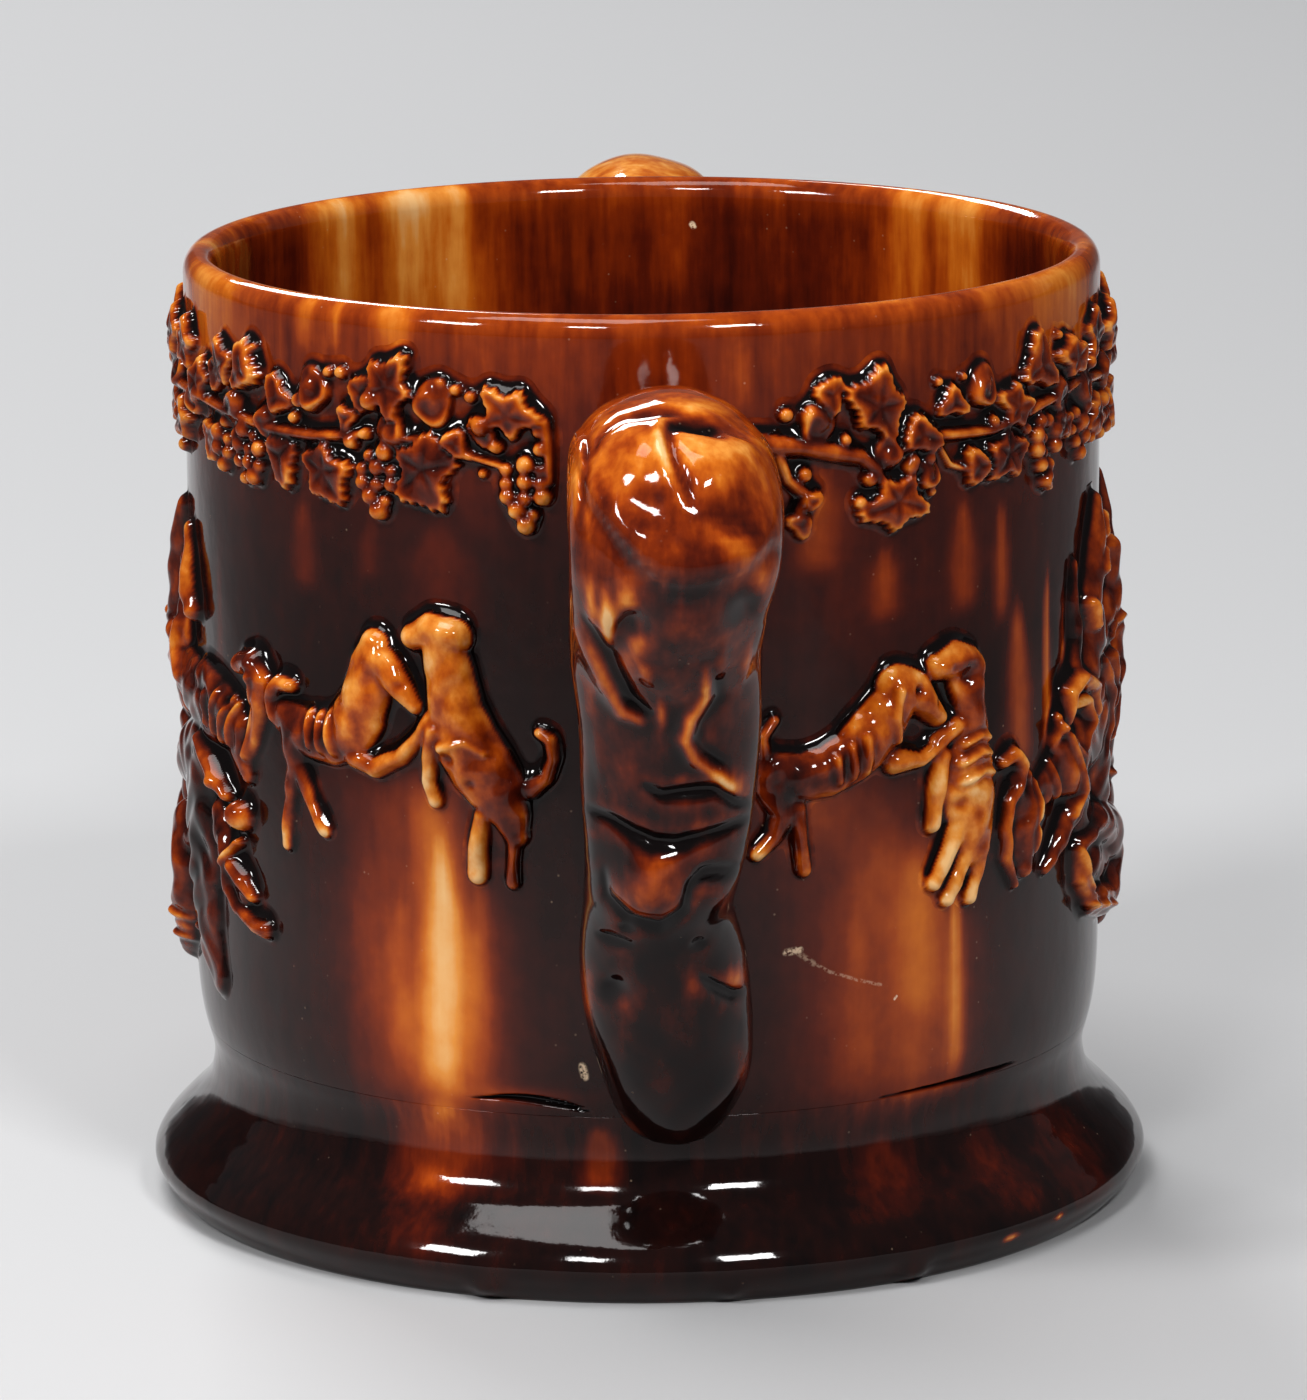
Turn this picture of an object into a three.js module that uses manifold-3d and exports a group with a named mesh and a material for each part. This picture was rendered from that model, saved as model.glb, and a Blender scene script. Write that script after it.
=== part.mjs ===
// Two-handled loving cup in treacle-brown glazed earthenware.
// A straight-sided pot stands on a separate moulded foot. Two sculpted handles and
// a set of hunting and vine reliefs, pressed in moulds, are luted to the wall with slip.
// Millimetres, +Z up, origin on the table at the middle of the foot.

import * as THREE from 'three';
import { mergeVertices } from 'three/addons/utils/BufferGeometryUtils.js';
import Module from 'manifold-3d';

const wasm = await Module();
wasm.setup();

// Driving sizes of the pot and foot

const CUP_HEIGHT = 198.8;      // table to the crest of the lip
const WALL_RADIUS = 95;        // outside of the straight wall
const WALL = 6.8;              // thickness of the wall at the lip
const LIP_ROUND = 4.4;         // height of the rounded lip
const FLOOR = 9;               // thickness of the pot's floor
const FLOOR_ROUND = 14;        // radius between floor and wall inside
const FOOT_HEIGHT = 36.5;      // table to the seat where the pot stands on the foot
const BEAD = 9.8;              // how far the foot's bead stands out past the wall
const NECK = 3.3;              // how far the neck above it draws in
const FOOT_WALL = 12;          // thickness of the foot at its seat
const RING_WIDTH = 9;          // width of the ring that touches the table
const JOINT_GAP = 0.3;         // slip joint between a luted piece and the wall

// Driving sizes of the handles

const HANDLE_REACH = 78;       // wall to the outermost face of the handle
const HANDLE_WIDTH = 41;       // across the rounded top
const HANDLE_DROP = 7;         // lip down to the handle's crest
const HANDLE_SEAT = 32;        // table to the toe, which rests on the neck
const HANDLE_TURN = 2;         // degrees that the near handle stands off the front
const FAR_TURN = 180;          // degrees of the far handle
const FAR_LIFT = 4.5;          // how much higher the far handle was luted on

// Driving sizes of the reliefs

const VINE_TOP = 9.8;          // lip down to the highest leaf tip of the vine
const VINE_LOW = 49;           // lip down to its lowest leaf tip
const FRIEZE_GAP = 11;         // bare wall between vine and hunting figures
const FRIEZE_RISE = 22;        // seat of the pot up to the lowest paw
const RELIEF = 4.5;            // how far a hound's flank stands out of the wall
const LEAF = 3.2;              // how far a leaf stands out
const GRAPE = 2.1;             // radius of a grape
const STEM = 1.5;              // half the width of the vine's stem

const FACETS = 46;             // faces round the pot and foot

// Meshes and solids

function toSolid(geometry) {
  geometry.deleteAttribute('normal');
  geometry.deleteAttribute('uv');
  const merged = mergeVertices(geometry, 1e-4);
  return new wasm.Manifold(new wasm.Mesh({
    numProp: 3,
    vertProperties: new Float32Array(merged.attributes.position.array),
    triVerts: new Uint32Array(merged.index.array),
  }));
}

function toGeometry(solid) {
  const { numProp, vertProperties, triVerts } = solid.getMesh();
  const positions = new Float32Array((vertProperties.length / numProp) * 3);
  for (let i = 0; i < positions.length / 3; i += 1) {
    positions.set(vertProperties.subarray(i * numProp, i * numProp + 3), i * 3);
  }
  const geometry = new THREE.BufferGeometry();
  geometry.setAttribute('position', new THREE.BufferAttribute(positions, 3));
  geometry.setIndex(new THREE.BufferAttribute(new Uint32Array(triVerts), 1));
  geometry.computeVertexNormals();
  return geometry;
}

// A closed skin through rings of equal length, from a start point to an end point.
function ringsToGeometry(start, rings, end) {
  const sides = rings[0].length;
  const positions = [start, ...rings.flat(), end].flatMap((p) => [p.x, p.y, p.z]);
  const last = rings.length * sides + 1;
  const index = [];
  for (let j = 0; j < sides; j += 1) {
    const k = (j + 1) % sides;
    index.push(0, 1 + k, 1 + j);
    index.push(last, last - sides + j, last - sides + k);
    for (let i = 0; i + 1 < rings.length; i += 1) {
      const a = 1 + i * sides;
      index.push(a + j, a + k, a + sides + k);
      index.push(a + j, a + sides + k, a + sides + j);
    }
  }
  const geometry = new THREE.BufferGeometry();
  geometry.setAttribute('position', new THREE.Float32BufferAttribute(positions, 3));
  geometry.setIndex(index);
  return geometry;
}

function revolve(points, facets = FACETS) {
  const geometry = new THREE.LatheGeometry(points, facets);
  geometry.rotateX(Math.PI / 2);
  return toSolid(geometry);
}

// Outside of pot and foot: bead, hollow neck, then the straight wall.
// The seat, where foot and pot meet, is one of the knots.

const BEAD_HEIGHT = FOOT_HEIGHT * 0.19;
const OUTLINE_KNOTS = [
  new THREE.Vector2(WALL_RADIUS + BEAD * 0.45, 0),
  new THREE.Vector2(WALL_RADIUS + BEAD, BEAD_HEIGHT),
  new THREE.Vector2(WALL_RADIUS + BEAD * 0.45, FOOT_HEIGHT * 0.41),
  new THREE.Vector2(WALL_RADIUS - NECK * 0.66, FOOT_HEIGHT * 0.63),
  new THREE.Vector2(WALL_RADIUS - NECK, FOOT_HEIGHT * 0.8),
  new THREE.Vector2(WALL_RADIUS - NECK * 0.52, FOOT_HEIGHT),
  new THREE.Vector2(WALL_RADIUS - NECK * 0.15, FOOT_HEIGHT + 9),
  new THREE.Vector2(WALL_RADIUS, FOOT_HEIGHT + 20),
];
const SEAT_KNOT = 5;
const KNOT_STEPS = 2;
const outline = new THREE.SplineCurve(OUTLINE_KNOTS).getPoints((OUTLINE_KNOTS.length - 1) * KNOT_STEPS);
const footOutline = outline.slice(0, SEAT_KNOT * KNOT_STEPS + 1);
const potOutline = outline.slice(SEAT_KNOT * KNOT_STEPS);
const INNER_RADIUS = WALL_RADIUS - WALL;

function cupBody() {
  const seatRadius = potOutline[0].x;
  const floorTop = FOOT_HEIGHT + FLOOR;
  const lip = new THREE.EllipseCurve(
    WALL_RADIUS - WALL / 2, CUP_HEIGHT - LIP_ROUND, WALL / 2, LIP_ROUND, 0, Math.PI);
  const corner = new THREE.EllipseCurve(
    INNER_RADIUS - FLOOR_ROUND, floorTop + FLOOR_ROUND, FLOOR_ROUND, FLOOR_ROUND, 0, -Math.PI / 2, true);
  return revolve([
    new THREE.Vector2(0, FOOT_HEIGHT),
    new THREE.Vector2(seatRadius, FOOT_HEIGHT),
    ...potOutline.slice(1),
    ...lip.getPoints(4),
    ...corner.getPoints(3),
    new THREE.Vector2(0, floorTop),
  ]);
}

function foot() {
  const seatRadius = footOutline[footOutline.length - 1].x;
  const ringInside = footOutline[0].x - RING_WIDTH;
  const hollow = new THREE.QuadraticBezierCurve(
    new THREE.Vector2(seatRadius - FOOT_WALL, FOOT_HEIGHT),
    new THREE.Vector2(seatRadius - FOOT_WALL, FOOT_HEIGHT * 0.35),
    new THREE.Vector2(ringInside, 0));
  return revolve([...footOutline, ...hollow.getPoints(3), footOutline[0].clone()]);
}

// The space that pot and foot take up, grown by the slip joint.
// Everything luted on is trimmed by it, so it seats on the real wall.

function wallTool() {
  const grown = outline.map((p) => new THREE.Vector2(p.x + JOINT_GAP, p.y));
  return revolve([
    new THREE.Vector2(0, -FOOT_HEIGHT),
    new THREE.Vector2(grown[0].x, -FOOT_HEIGHT),
    ...grown,
    new THREE.Vector2(WALL_RADIUS + JOINT_GAP, CUP_HEIGHT * 1.5),
    new THREE.Vector2(0, CUP_HEIGHT * 1.5),
  ]);
}

// The handle is a loft: oval sections carried along an arch from the wall, out over
// the rounded top, and down to the toe on the neck. Each station gives the distance
// out from the wall as a share of the reach, the height as a share of toe to crest,
// half the depth, half the width as a share of the top's, and a sway to one side.

const CREST = CUP_HEIGHT - HANDLE_DROP;
const ARCH = [
  [-0.11, 0.834, 15.5, 0.64, 0],
  [0.08, 0.85, 15.5, 0.68, 0],
  [0.25, 0.877, 15.5, 0.82, -0.4],
  [0.42, 0.896, 15.5, 0.91, 0],
  [0.58, 0.9, 16, 0.97, 0.5],
  [0.72, 0.872, 17.4, 1, 0.8],
  [0.77, 0.815, 17, 0.98, 0.6],
  [0.69, 0.75, 15.2, 0.93, -0.5],
  [0.585, 0.677, 13, 0.9, -0.8],
  [0.52, 0.59, 12.6, 0.86, 0],
  [0.475, 0.508, 12.4, 0.83, -0.2],
  [0.43, 0.426, 12.6, 0.77, -0.8],
  [0.33, 0.35, 12, 0.72, -2],
  [0.25, 0.275, 12.4, 0.8, -1],
  [0.175, 0.195, 13.2, 0.81, 0.2],
  [0.115, 0.12, 12.6, 0.74, 1.6],
  [0.065, 0.06, 10, 0.58, 1.6],
  [0.04, 0.025, 6.5, 0.38, 1.4],
];
const TOE = [0.03, 0.008, 0, 0, 1.2];
const ARCH_RINGS = 39;
const FRONT_SIDES = 12;
const BACK_SIDES = 4;

// Swellings and hollows pressed into the front of the handle: across, height as a share
// of toe to crest, how far out, half width across, half height as a share.

const MODELLING = [
  [-8, 0.93, 2.2, 6, 0.06],        // left lobe of the rounded top
  [9.5, 0.915, 2.4, 8, 0.065],     // right lobe
  [0, 0.945, -2.2, 1.6, 0.05],     // upper part of the cleft between them
  [3.2, 0.885, -2, 2, 0.03],       // lower part of the cleft
  [12.5, 0.845, -2.2, 5, 0.02],    // fold that runs off to the right
  [14, 1, -2.5, 7, 0.06],          // the crest falls away to the right
  [-19, 0.92, 2.2, 3, 0.05],       // small lobe at the left side
  [-1, 0.78, -1.6, 12, 0.022],     // crease under the rounded top
  [-8, 0.735, -3, 4, 0.028],       // left hollow
  [13, 0.75, -3.6, 4.5, 0.035],    // right hollow
  [-12, 0.655, 1.8, 4, 0.035],     // fold on the left
  [4, 0.6, 1.5, 3.5, 0.07],        // fold that curves down the middle
  [11, 0.53, 1.6, 5, 0.022],
  [4, 0.515, -2, 12, 0.012],       // upper cross crease
  [1, 0.455, -2.2, 14, 0.012],     // lower cross crease
  [-5, 0.405, 4, 6.5, 0.04],       // round knob
  [10, 0.38, -2, 5, 0.02],
  [-10.5, 0.255, -2.6, 3.2, 0.022],  // hollows at the sides of the instep
  [13, 0.25, -2.2, 4.5, 0.016],
];

function blend(stations, t) {
  const at = Math.min(Math.floor(t), stations.length - 2);
  const f = t - at;
  const [p, q, r, s] = [at - 1, at, at + 1, at + 2]
    .map((k) => stations[Math.min(Math.max(k, 0), stations.length - 1)]);
  return q.map((value, n) => 0.5 * (2 * value + (r[n] - p[n]) * f
    + (2 * p[n] - 5 * value + 4 * r[n] - s[n]) * f * f
    + (3 * value - p[n] - 3 * r[n] + s[n]) * f * f * f));
}

function pressed(across, share) {
  return MODELLING.reduce((sum, [x, v, out, halfWidth, halfHeight]) => sum
    + out * Math.exp(-(((across - x) / halfWidth) ** 2) - (((share - v) / halfHeight) ** 2)), 0);
}

function handle(turn, lift) {
  const toeToCrest = CREST - HANDLE_SEAT;
  const place = (t) => {
    const [out, share, depth, width, sway] = blend(ARCH, t);
    const radius = WALL_RADIUS + out * HANDLE_REACH;
    return { radius, height: HANDLE_SEAT + share * toeToCrest, depth, width: width * HANDLE_WIDTH / 2, sway };
  };
  const rings = [];
  for (let i = 0; i < ARCH_RINGS; i += 1) {
    const t = (i / (ARCH_RINGS - 1)) * (ARCH.length - 1);
    const here = place(t);
    const before = place(Math.max(t - 0.1, 0));
    const after = place(Math.min(t + 0.1, ARCH.length - 1));
    const along = new THREE.Vector2(after.radius - before.radius, after.height - before.height).normalize();
    const outward = new THREE.Vector2(-along.y, along.x);
    const ring = [];
    for (let j = 0; j < FRONT_SIDES + BACK_SIDES; j += 1) {
      const angle = j < FRONT_SIDES
        ? Math.PI * (0.5 - j / FRONT_SIDES)
        : -Math.PI * (0.5 + (j - FRONT_SIDES) / BACK_SIDES);
      const across = here.width * Math.sin(angle);
      const facing = Math.max(Math.cos(angle), 0);
      const front = Math.sqrt(facing);
      const radial = here.radius + outward.x * here.depth * Math.cos(angle);
      const height = here.height + outward.y * here.depth * Math.cos(angle);
      const swell = front * pressed(across, (height - HANDLE_SEAT) / toeToCrest);
      ring.push(new THREE.Vector3(
        across + here.sway,
        -(radial + outward.x * swell),
        height + outward.y * swell));
    }
    rings.push(ring);
  }
  const root = place(0);
  const toe = new THREE.Vector3(
    TOE[4], -(WALL_RADIUS + TOE[0] * HANDLE_REACH), HANDLE_SEAT + TOE[1] * toeToCrest);
  const geometry = ringsToGeometry(new THREE.Vector3(0, -root.radius, root.height), rings, toe);
  geometry.rotateZ(THREE.MathUtils.degToRad(turn));
  geometry.translate(0, 0, lift);
  return toSolid(geometry).subtract(wallTool());
}

// The reliefs are drawn as if the wall were unrolled: degrees round the pot from its
// front, height, half width in millimetres, and a share of the relief that stands out.
// A band carries a drawing to its place on the wall, however tall or wide the pot is.

const DRAWN_RADIUS = 95;
const MM_PER_DEGREE = THREE.MathUtils.degToRad(DRAWN_RADIUS);
const DRAWN_VINE = { low: 150, high: 189 };
const DRAWN_FRIEZE = { low: 58.5, high: 139 };
const BACK = -2;               // a relief reaches this far into the wall until it is trimmed

function band(drawn, low, high, turn) {
  return { drawn, low, scale: (high - low) / (drawn.high - drawn.low), turn };
}

function vineBand(turn) {
  return band(DRAWN_VINE, CUP_HEIGHT - VINE_LOW, CUP_HEIGHT - VINE_TOP, turn);
}

function friezeBand(turn) {
  return band(DRAWN_FRIEZE, FOOT_HEIGHT + FRIEZE_RISE, CUP_HEIGHT - VINE_LOW - FRIEZE_GAP, turn);
}

function onWall(place, x, y, out) {
  const angle = THREE.MathUtils.degToRad(x / MM_PER_DEGREE + place.turn);
  const radius = WALL_RADIUS + out;
  return new THREE.Vector3(
    radius * Math.sin(angle),
    -radius * Math.cos(angle),
    place.low + (y - place.drawn.low) * place.scale);
}

// Section of a limb, from its left edge over the top to its right edge.
const ROUND = [[1, 0], [0.78, 0.72], [0, 1], [-0.78, 0.72], [-1, 0]];
const SLIM = [[1, 0], [0.6, 0.85], [-0.6, 0.85], [-1, 0]];
const RIDGE = [[1.2, 0], [0, 1], [-1.2, 0]];

// A tapering limb, stem or tail laid along its stations.
function limb(place, stations, section = ROUND, relief = RELIEF) {
  const points = stations.map(([degrees, height]) => new THREE.Vector2(degrees * MM_PER_DEGREE, height));
  const heading = (i) => new THREE.Vector2().subVectors(
    points[Math.min(i + 1, points.length - 1)], points[Math.max(i - 1, 0)]).normalize();
  const rings = stations.map(([, , halfWidth, share], i) => {
    const along = heading(i);
    return section.map(([side, rise]) => onWall(
      place,
      points[i].x - along.y * halfWidth * side,
      points[i].y + along.x * halfWidth * side,
      rise === 0 ? BACK : share * relief * rise));
  });
  const cap = (i, direction) => {
    const [, , halfWidth, share] = stations[i];
    const tip = points[i].clone().addScaledVector(heading(i), direction * halfWidth * 0.85);
    return onWall(place, tip.x, tip.y, share * relief * 0.2);
  };
  return toSolid(ringsToGeometry(cap(0, -1), rings, cap(stations.length - 1, 1)));
}

// A leaf, grape or knob: rings of an outline, each at its share of the radius and with
// its rise on the ribs and between them. The last ring lies inside the wall. With a
// root, the side away from the tip is drawn out to it as a stalk, which ends in the stem.
function boss(place, degrees, height, radius, shape, turn = 90, root = null) {
  const centre = new THREE.Vector2(degrees * MM_PER_DEGREE, height);
  const stalkEnd = root && new THREE.Vector2(root[0] * MM_PER_DEGREE, root[1]);
  const stalkWay = root && stalkEnd.clone().sub(centre).normalize();
  const { sides } = shape;
  const rings = shape.tiers.map(([size, onRib, between]) => Array.from({ length: sides }, (_, j) => {
    const angle = THREE.MathUtils.degToRad(turn) - (j / sides) * 2 * Math.PI;
    const reach = radius * size * (j % 2 === 0 ? 1 : shape.valley);
    const point = new THREE.Vector2(Math.cos(angle), Math.sin(angle)).multiplyScalar(reach).add(centre);
    if (root && j === sides / 2) {
      point.copy(stalkEnd).addScaledVector(stalkWay, size > 1 ? STEM : 0);
    }
    return onWall(place, point.x, point.y, j % 2 === 0 ? onRib : between);
  }));
  return toSolid(ringsToGeometry(
    onWall(place, centre.x, centre.y, shape.crown),
    rings,
    onWall(place, centre.x, centre.y, BACK * 1.5)));
}

const LEAF_SHAPE = {
  sides: 10, valley: 0.64, crown: LEAF * 0.6, tiers: [[0.5, LEAF, LEAF * 0.5], [1.16, BACK, BACK]],
};
const BUD_SHAPE = {
  sides: 6, valley: 0.75, crown: LEAF * 0.6, tiers: [[0.5, LEAF * 0.9, LEAF * 0.5], [1.2, BACK, BACK]],
};
const GRAPE_SHAPE = {
  sides: 5, valley: 1, crown: GRAPE * 1.6, tiers: [[0.75, GRAPE * 1.2, GRAPE * 1.2], [1.1, BACK, BACK]],
};

// Grapes in rows that hang from one point.
function bunch(place, [degrees, height, rows]) {
  return rows.flatMap((count, row) => Array.from({ length: count }, (_, k) => boss(
    place,
    degrees + ((k - (count - 1) / 2) * GRAPE * 1.5) / MM_PER_DEGREE,
    height - row * GRAPE * 1.4,
    GRAPE,
    GRAPE_SHAPE)));
}

function vine(design, turn) {
  const place = vineBand(turn);
  const pieces = [
    ...design.stems.map((path) => limb(
      place, path.map(([degrees, height]) => [degrees, height, STEM, 1]), SLIM, LEAF * 0.8)),
    ...design.leaves.map(([degrees, height, radius, tip, root]) => boss(
      place, degrees, height, radius, LEAF_SHAPE, tip, root)),
    ...design.buds.map(([degrees, height, radius, tip, root]) => boss(
      place, degrees, height, radius, BUD_SHAPE, tip, root)),
    ...design.bunches.flatMap((entry) => bunch(place, entry)),
  ];
  return pieces.reduce((sum, piece) => sum.add(piece)).subtract(wallTool());
}

function figures(limbs, knobs, turn) {
  const place = friezeBand(turn);
  const section = ([[, , halfWidth]]) => {
    if (halfWidth > 4) return ROUND;
    return halfWidth > 2.2 ? SLIM : RIDGE;
  };
  const pieces = [
    ...limbs.map((path) => limb(place, path, section(path))),
    ...knobs.map(([degrees, height, radius, dip, rim]) => boss(place, degrees, height, radius, {
      sides: 8,
      valley: 1,
      crown: RELIEF * dip,
      tiers: [[0.6, RELIEF * rim, RELIEF * rim], [1.1, BACK, BACK]],
    })),
  ];
  return pieces.reduce((sum, piece) => sum.add(piece)).subtract(wallTool());
}

// Vine sprays. Stems are lists of points. A leaf or bud is its centre, its radius, the
// way its tip turns, and the point on the stem that its stalk springs from. A bunch is
// its top and the grapes in each row.

const VINE_LEFT = {
  stems: [
    [[-88, 177], [-74, 172.6], [-60, 174], [-45, 170.6], [-30, 173.6], [-20, 170.6], [-13.6, 170.8]],
  ],
  leaves: [
    [-31.8, 183, 6.4, 80, [-33, 172.6]],
    [-25.4, 167.4, 8, -75, [-25.5, 173]],
    [-15.8, 179.2, 6.6, 60, [-18, 170.6]],
    [-40.8, 164.8, 7.4, -60, [-42, 171.2]],
    [-55.5, 181.6, 6.6, 95, [-54.5, 173]],
    [-81.5, 182.4, 6.8, 85, [-81, 174.8]],
  ],
  buds: [
    [-25.4, 180.4, 4.6, 110, [-26, 172.6]],
    [-43.4, 179.4, 5, 100, [-43, 171]],
    [-48.2, 165.2, 5, -90, [-48.2, 171.3]],
    [-66.4, 180, 5.2, 95, [-67, 173.2]],
  ],
  bunches: [
    [-33.4, 171.4, [2, 1]],
    [-55.4, 170.4, [2, 1]],
    [-14.8, 169.6, [1, 1]],
  ],
};

const VINE_RIGHT = {
  stems: [
    [[14.6, 173], [21, 171.2], [29, 169.8], [45, 170.8], [60, 174.4], [75, 173], [88, 179]],
    [[16.8, 172], [16.8, 167], [19.2, 161]],
  ],
  leaves: [
    [28.4, 179.4, 7.6, 85, [28, 170]],
    [31, 160.4, 8, -95, [29.6, 169.8]],
    [55.5, 182, 6.6, 90, [55, 173.2]],
    [72, 182, 6.8, 80, [72, 173.4]],
    [82.5, 167.4, 6.6, -90, [82, 176]],
    [48.6, 163.4, 6.4, -80, [47.4, 171.4]],
  ],
  buds: [
    [21, 178.6, 4.8, 100, [20.5, 171.4]],
    [43.6, 178.8, 5, 100, [44.5, 170.8]],
    [19.6, 157.4, 4.2, -70, [18.8, 162.4]],
    [63.4, 182.4, 5, 90, [63.5, 174.2]],
  ],
  bunches: [
    [57.4, 171.8, [2, 2, 1]],
    [67.6, 172.4, [2]],
  ],
};

// Hunting figures, one limb to a line: body, head, ears, legs, tail and ribs. Each
// station is degrees, height, half width and share of the relief. A knob is degrees,
// height and radius, with the shares at its middle and at its rim.

const HOUNDS_LEFT = [
  [[-48.6, 113, 5, 0.9], [-43, 110.5, 6.2, 0.9], [-38.5, 111.5, 7, 1], [-35.8, 117, 6.8, 1.1],
    [-34.6, 125, 5.2, 1], [-34, 131.5, 3.4, 0.7]],
  [[-33.6, 128, 3.8, 1], [-28.8, 120, 2.6, 0.8], [-25, 119, 2, 0.5]],
  [[-37, 106.5, 3, 0.8], [-31, 108, 2.3, 0.7], [-26.9, 116.5, 1.7, 0.5]],
  [[-47.4, 109, 4.4, 0.8], [-47.6, 98.5, 2.4, 0.6], [-49.3, 86.5, 1.9, 0.45]],
  [[-46.5, 106, 4, 0.7], [-45.8, 98.5, 2.3, 0.6], [-42, 90.4, 1.6, 0.4]],
  [[-48.5, 113, 2, 0.9], [-51.2, 117, 1.6, 0.8], [-47.4, 120.8, 1.4, 0.7]],
  [[-43.5, 115.6, 1.2, 0.9], [-43.2, 109.5, 1.2, 1.15]],
  [[-41, 115.4, 1.2, 1], [-40.8, 109, 1.2, 1.2]],
  [[-25, 135.4, 4.2, 0.8], [-23.4, 130, 6.2, 1], [-22.6, 119, 6.6, 1.1], [-20.5, 110.5, 7, 1.1],
    [-17.6, 104, 7, 1.1], [-15.6, 95.4, 3.6, 0.6]],
  [[-25, 133.4, 3.8, 0.95], [-28.6, 133, 2.6, 0.7]],
  [[-25.2, 114, 2.6, 0.9], [-26.6, 106.5, 2.1, 0.65], [-25.7, 100, 1.8, 0.5]],
  [[-17.6, 101, 4.2, 0.8], [-19.6, 94, 2, 0.55], [-20.5, 86.4, 2.4, 0.45]],
  [[-15.8, 97, 3, 0.7], [-16, 84.8, 1.5, 0.4]],
  [[-15, 103.5, 2.4, 0.8], [-11.4, 107.4, 1.5, 0.7], [-11.2, 114.6, 1.4, 0.6]],
];

const HOUNDS_RIGHT = [
  [[15, 107, 4.4, 0.9], [20, 106.4, 5.2, 0.9], [25, 109.5, 6.2, 1], [28.4, 114.4, 7, 1.1],
    [32.4, 121.4, 5, 1]],
  [[31.6, 121.8, 4.6, 1], [36.6, 114.8, 2.6, 0.8]],
  [[30.8, 121, 2, 1.25], [30.2, 111.6, 1.6, 1.1]],
  [[29, 106.5, 3.2, 0.85], [34.6, 107.2, 2, 0.65], [38.2, 110.8, 1.5, 0.5]],
  [[16.8, 104, 5, 0.9], [17, 97, 3, 0.7], [14.4, 91, 1.4, 0.4]],
  [[18.2, 101, 3.2, 0.7], [19, 86.8, 1.6, 0.4]],
  [[14.8, 109, 1.6, 0.8], [14.2, 113, 1.4, 0.7], [15.4, 117, 1.2, 0.6]],
  [[22.4, 110, 1.2, 1], [22.8, 104.6, 1.2, 0.95]],
  [[38.2, 127.2, 4.6, 0.9], [41, 124.4, 5.6, 1], [42, 112, 4.6, 1], [42, 103.5, 7.6, 1.1],
    [42.4, 95.6, 8, 1.1], [43, 85, 5, 0.75]],
  [[37, 105, 3, 0.9], [36.6, 91, 2, 0.5]],
  [[41, 92, 3, 0.9], [36.9, 80.5, 1.8, 0.45]],
  [[42.5, 88, 2.6, 0.8], [38.8, 76.6, 1.7, 0.4]],
  [[44, 86, 2.4, 0.8], [42.3, 75.8, 1.6, 0.4]],
  [[40, 103.4, 1.2, 1.2], [44, 105.4, 1.2, 1.25]],
  [[37.4, 110.2, 2, 0.6], [39.8, 111.8, 2.4, 0.9]],
];

const CHASE_LEFT = [
  [[-56, 119, 3.4, 0.8], [-64, 114.6, 4.6, 0.8], [-72, 113, 6, 1], [-78, 115.4, 6.6, 1.15],
    [-82.4, 121.5, 5.6, 1.15], [-82.4, 132, 3, 0.7]],
  [[-55.3, 118.4, 2.4, 1], [-56.4, 112, 2.2, 1.05], [-57.6, 104.6, 1.5, 0.7]],
  [[-59.4, 117.4, 1.8, 1], [-61, 107.4, 1.4, 0.6]],
  [[-62.8, 116, 1.7, 1], [-64, 108, 1.3, 0.6]],
  [[-66.4, 115, 1.7, 1.1], [-67.6, 107.4, 1.3, 0.6]],
  [[-76, 112, 4.6, 1], [-74, 102, 3.6, 0.8], [-68, 96.4, 3.8, 0.85], [-61.6, 87.6, 4.6, 0.95]],
  [[-62.4, 86, 3.2, 0.8], [-61, 79.6, 2.7, 0.8], [-58, 71.8, 2.4, 0.7], [-54.4, 66, 2.6, 0.6]],
  [[-75.6, 104, 4, 0.8], [-83, 95, 4.6, 0.9], [-84.6, 81, 4.2, 0.9], [-82.4, 66, 6, 1.15],
    [-74.4, 60.2, 3.4, 0.7]],
  [[-83.6, 76, 3.4, 0.9], [-77.4, 74.8, 2.4, 0.6]],
];
const CHASE_LEFT_KNOBS = [[-61.4, 88, 5, 0.6, 1.2]];

const CHASE_RIGHT = [
  [[62.6, 114.6, 3.6, 0.7], [67, 111.6, 5.8, 1], [74, 111, 7, 1.15], [81, 115.5, 6.8, 1.2],
    [85, 119.4, 5, 1]],
  [[64.4, 116, 1.6, 1.1], [65.4, 109, 1.6, 1.15], [64.4, 101.4, 1.4, 0.8]],
  [[68.4, 117, 1.6, 1.3], [70, 109.6, 1.6, 1.35], [69, 100.6, 1.4, 0.8]],
  [[72.8, 117.6, 1.6, 1.35], [74.4, 110, 1.6, 1.4], [73.4, 102, 1.3, 0.7]],
  [[79.4, 116, 4, 1.1], [77.4, 125, 3.4, 0.9], [79.2, 134, 3.6, 1], [78, 146, 2.6, 0.6]],
  [[51.2, 100.4, 2.6, 0.8], [55, 91, 4.8, 1], [54.6, 79, 3.2, 0.6]],
  [[52.4, 95, 1.9, 0.7], [50.9, 85, 2, 0.6], [51.8, 74.6, 1.4, 0.4]],
  [[64.4, 104, 1.8, 0.9], [63.4, 97.5, 2.2, 0.8], [66.6, 87.6, 2.4, 0.7]],
  [[69, 102.6, 1.8, 0.8], [68, 96, 2.2, 0.8], [70, 85, 2.4, 0.8]],
  [[56, 87.6, 3.2, 0.8], [64, 86.2, 3.2, 0.7], [70.6, 84.4, 4, 0.9], [76, 78, 4.4, 1]],
];
const CHASE_RIGHT_KNOBS = [[78, 71.6, 11, 0.35, 1.25]];

const group = new THREE.Group();
const GLAZE = { roughness: 0.12, metalness: 0 };

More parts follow.
